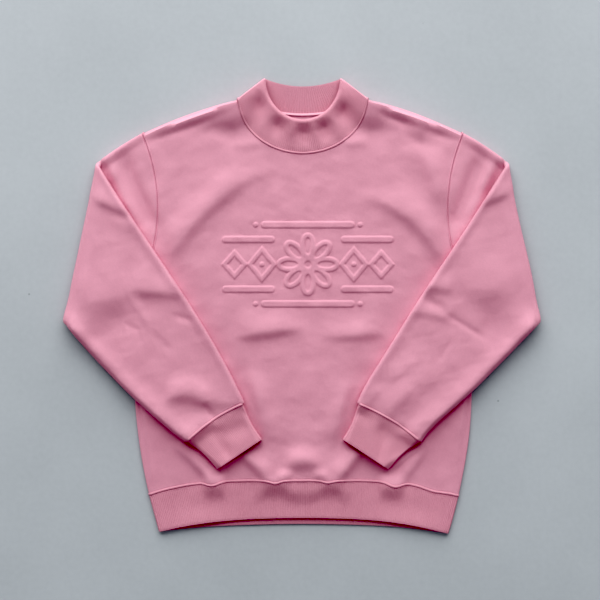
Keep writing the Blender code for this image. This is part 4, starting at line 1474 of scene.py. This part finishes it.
def sleeve_surface(plan):
    """Where a sleeve lies: flat beside the body, round its fold, then over the front."""
    rows = CAP_ROWS + FOLD_ROWS + FOREARM_ROWS
    half_gap = LAYER_PITCH / 2

    def cap(ring, t):
        edge_z = lerp(EDGE_Z, FRONT_Z, t)
        gap = (edge_z - BACK_Z) / 2
        across = drawn_in(ring.across, gap, SLEEVE_WIDTH)
        arm_y = lerp(SHOULDER.y, UNDERARM.y, across)
        arm_x = (armhole_half(arm_y) + SEAM / 2) * plan.side
        x, y = between((arm_x, arm_y), between(*plan.before, across), t)
        from_seam = np.hypot(x - arm_x, y - arm_y)
        groove = SEAM_GROOVE * np.exp(-((from_seam - GROOVE_PLACE) / GROOVE_WIDTH) ** 2)
        loft = np.maximum(front_z(x, y) - groove - edge_z, 0.0) * ring.upper
        return points(x, y - gap * ring.reach, (BACK_Z + edge_z) / 2 + gap * ring.rise + loft)

    def fold(ring, share):
        across = drawn_in(ring.across, half_gap, SLEEVE_WIDTH)
        before = between(*plan.before, across)
        after = between(*plan.after, across)
        x, y = between(before, after, share)
        loft = sleeve_loft(*after, across * SLEEVE_WIDTH, (1 - across) * SLEEVE_WIDTH)
        outer = loft * smooth(share) * ring.lower
        inner = np.maximum(front_z(*before) - FRONT_Z, 0.0) * (1 - smooth(share)) * ring.upper
        radius = (INNER_TURN + OUTER_TURN) / 2 - half_gap * ring.rise + outer - inner
        reach = radius * np.sin(share * math.pi)
        along = unit(np.array(plan.before[1] - plan.before[0]))
        x = x + plan.outward.x * reach + along[0] * half_gap * ring.reach
        y = y + plan.outward.y * reach + along[1] * half_gap * ring.reach
        return points(x, y, FOLD_Z - radius * np.cos(share * math.pi))

    def forearm(ring, t):
        # 6.75 and 17.6 bring these curves to 1 at their highest
        fullness = SLEEVE_FULLNESS * 6.75 * t * t * (1 - t)
        bow = OUTER_BOW[plan.side] * (4 * t * (1 - t)) ** 0.8
        bow = bow - OUTER_DENT[plan.side] * 17.6 * t ** 6 * (1 - t)
        start = between(plan.after[0], plan.cuff[0], t)
        end = between(plan.after[1], plan.cuff[1], t)
        start = [value - way * fullness for value, way in zip(start, plan.across)]
        end = [value + way * bow for value, way in zip(end, plan.across)]
        width = np.hypot(end[0] - start[0], end[1] - start[1])
        across = drawn_in(ring.across, half_gap, width)
        seam_bow = CUFF_BOW * 4 * across * (1 - across) * t ** 6
        x, y = between(start, end, across)
        x = x - plan.along[0] * seam_bow
        y = y - plan.along[1] * seam_bow
        loft = sleeve_loft(x, y, across * width, (1 - across) * width)
        z = (INNER_Z + OUTER_Z) / 2 - half_gap * ring.rise + loft * ring.lower
        z = z - sleeve_sag(x, y)
        x = x + (end[0] - start[0]) / width * half_gap * ring.reach
        y = y + (end[1] - start[1]) / width * half_gap * ring.reach
        return points(x, y, z)

    def place(u, v):
        ring = flattened_ring(u, SLEEVE_COLUMNS, SLEEVE_COLUMNS, TURN_STEPS)
        row = v * rows
        t_cap = np.clip(row / CAP_ROWS, 0, 1) ** CAP_SPACING
        t_fold = np.clip((row - CAP_ROWS) / FOLD_ROWS, 0, 1)
        t_arm = np.clip((row - CAP_ROWS - FOLD_ROWS) / FOREARM_ROWS, 0, 1)
        on_arm = (row > CAP_ROWS + FOLD_ROWS)[:, None]
        on_cap = (row < CAP_ROWS)[:, None]
        folded = np.where(on_arm, forearm(ring, t_arm), fold(ring, t_fold))
        return np.where(on_cap, cap(ring, t_cap), folded)

    return place, 2 * (SLEEVE_COLUMNS + TURN_STEPS), rows


def cuff_surface(plan, ribs, rib_depth):
    """Where a cuff lies, drawn in at its middle."""
    steps = ribs * RIB_FACES
    total = 2 * (steps + RIB_FACES * 2)
    gather = plan.across * CUFF_GATHER
    start = (plan.cuff[0] + gather, plan.cuff[1] - gather)
    end = (plan.place(CUFF_END_IN), plan.place(CUFF_END_OUT))
    half_gap = LAYER_PITCH / 2

    def place(u, v):
        ring = flattened_ring(u, steps, steps, RIB_FACES * 2)
        inner = between(start[0], end[0], v)
        outer = between(start[1], end[1], v)
        width = np.hypot(outer[0] - inner[0], outer[1] - inner[1])
        across = drawn_in(ring.across, half_gap + CUFF_WAIST * np.sin(math.pi * v), width)
        turn = half_gap + rib_wave(u, total, rib_depth)
        seam_bow = CUFF_BOW * 4 * across * (1 - across) * (1 - v) ** 2
        x, y = between(inner, outer, across)
        x = x - plan.along[0] * seam_bow + (outer[0] - inner[0]) / width * turn * ring.reach
        y = y - plan.along[1] * seam_bow + (outer[1] - inner[1]) / width * turn * ring.reach
        from_in = across * width
        from_out = (1 - across) * width
        loft = CUFF_AIR + CUFF_OPEN * v ** CUFF_OPEN_POWER + folds_at(x, y, CUFF_FOLDS)
        loft = rested(loft, SLEEVE_LIMIT)
        loft = loft * smooth(from_in / EDGE_FADE) * smooth(from_out / EDGE_FADE)
        loft = lerp(sleeve_loft(x, y, from_in, from_out), loft, smooth(v / CUFF_BLEND))
        return points(x, y, (INNER_Z + OUTER_Z) / 2 - turn * ring.rise + loft * ring.lower)

    return place, total


SIDES = (("left", 1), ("right", -1))


class SWEATSHIRT_OT_sleeves(Operator):
    """Make both sleeves, folded over the front, their armhole seams and stitches"""

    bl_idname = "sweatshirt.sleeves"
    bl_label = "Sleeves"

    def execute(self, context):
        for word, side in SIDES:
            place, columns, rows = sleeve_surface(SleevePlan(side))
            piece = add_tube(word + "_sleeve_cloth", columns, rows, (0.50, 0.53), place,
                             fleece_material())
            seam, stitches = add_trims(word + "_armhole", place, BEAD_STEPS["armhole"],
                                       fleece_material(), ARMHOLE_SEAM)
            for each in (piece, seam, stitches):
                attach(each, "root")
            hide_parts(word + "_sleeve")
        return {"FINISHED"}


class SWEATSHIRT_OT_cuffs(Operator):
    """Make both rib cuffs, their seams and stitches"""

    bl_idname = "sweatshirt.cuffs"
    bl_label = "Cuffs"

    def execute(self, context):
        cloth = context.scene.sweatshirt_cloth
        for word, side in SIDES:
            plan = SleevePlan(side)
            place, columns = cuff_surface(plan, cloth.cuff_ribs, cloth.rib_depth)
            piece = add_tube(word + "_cuff_rib", columns, CUFF_ROWS, (0.19, 0.064), place,
                             rib_material())
            plain, _ = cuff_surface(plan, cloth.cuff_ribs, 0.0)
            seam, stitches = add_trims(word + "_cuff", plain, BEAD_STEPS["cuff"],
                                       seam_material())
            for each in (piece, seam, stitches):
                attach(each, "root")
            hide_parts(word + "_cuff")
        return {"FINISHED"}


# ---------------------------------------------------------------- the stage
class SWEATSHIRT_OT_stage(Operator):
    """Make the floor, the light and the camera"""

    bl_idname = "sweatshirt.stage"
    bl_label = "Stage"

    def execute(self, context):
        stage = context.scene.sweatshirt_stage
        self.add_floor(stage)
        self.add_light(stage)
        self.add_camera(stage)
        view = context.scene.view_settings
        view.view_transform = "Standard"
        view.use_curve_mapping = True
        view.curve_mapping.black_level = [stage.black_level] * 3
        return {"FINISHED"}

    def add_floor(self, stage):
        bm = bmesh.new()
        bmesh.ops.create_grid(bm, x_segments=1, y_segments=1, size=stage.floor_size / 2)
        bmesh.ops.translate(bm, verts=bm.verts, vec=(0, 0, -SEAM))
        add_object("floor", bm, floor_material())

    def add_light(self, stage):
        light = bpy.data.lights.new("key", "AREA")
        light.shape = "RECTANGLE"
        light.size = stage.key_width
        light.size_y = stage.key_height
        light.energy = stage.key_power
        key = bpy.data.objects.new("key", light)
        key.location = stage.key_place
        key.rotation_mode = "QUATERNION"
        key.rotation_quaternion = (-key.location).to_track_quat("-Z", "Y")
        bpy.context.scene.collection.objects.link(key)
        world = bpy.data.worlds.new("fill")
        world.use_nodes = True
        background = world.node_tree.nodes["Background"]
        background.inputs["Color"].default_value = (*stage.fill_color, 1.0)
        background.inputs["Strength"].default_value = stage.fill_strength
        bpy.context.scene.world = world

    def add_camera(self, stage):
        lens = bpy.data.cameras.new("camera")
        lens.sensor_width = 36.0
        lens.lens = lens.sensor_width * stage.camera_place.z / stage.view_width
        camera = bpy.data.objects.new("camera", lens)
        camera.location = stage.camera_place
        bpy.context.scene.collection.objects.link(camera)
        bpy.context.scene.camera = camera


# ---------------------------------------------------------------- the add-on
OPERATORS = (
    SWEATSHIRT_OT_back_panel,
    SWEATSHIRT_OT_front_panel,
    SWEATSHIRT_OT_hem_band,
    SWEATSHIRT_OT_collar,
    SWEATSHIRT_OT_neck_tape,
    SWEATSHIRT_OT_sleeves,
    SWEATSHIRT_OT_cuffs,
    SWEATSHIRT_OT_stage,
)


class SWEATSHIRT_PT_panel(Panel):
    """Lists the sweatshirt's pieces and settings"""

    bl_idname = "SWEATSHIRT_PT_panel"
    bl_label = "Mock neck sweatshirt"
    bl_space_type = "VIEW_3D"
    bl_region_type = "UI"
    bl_category = "Sweatshirt"

    def draw(self, context):
        column = self.layout.column()
        for operator in OPERATORS:
            column.operator(operator.bl_idname)
        for settings in (context.scene.sweatshirt_cloth, context.scene.sweatshirt_stage):
            box = self.layout.box()
            for name in settings.__annotations__:
                box.prop(settings, name)


CLASSES = (SweatshirtCloth, SweatshirtStage, *OPERATORS, SWEATSHIRT_PT_panel)


def register():
    for cls in CLASSES:
        bpy.utils.register_class(cls)
    bpy.types.Scene.sweatshirt_cloth = PointerProperty(type=SweatshirtCloth)
    bpy.types.Scene.sweatshirt_stage = PointerProperty(type=SweatshirtStage)


def unregister():
    del bpy.types.Scene.sweatshirt_stage
    del bpy.types.Scene.sweatshirt_cloth
    for cls in reversed(CLASSES):
        bpy.utils.unregister_class(cls)


def main():
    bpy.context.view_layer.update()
    register()
    bpy.ops.sweatshirt.back_panel()
    bpy.ops.sweatshirt.front_panel()
    bpy.ops.sweatshirt.hem_band()
    bpy.ops.sweatshirt.collar()
    bpy.ops.sweatshirt.neck_tape()
    bpy.ops.sweatshirt.sleeves()
    bpy.ops.sweatshirt.cuffs()
    bpy.ops.sweatshirt.stage()
    bpy.context.view_layer.update()


if __name__ == "__main__":
    main()
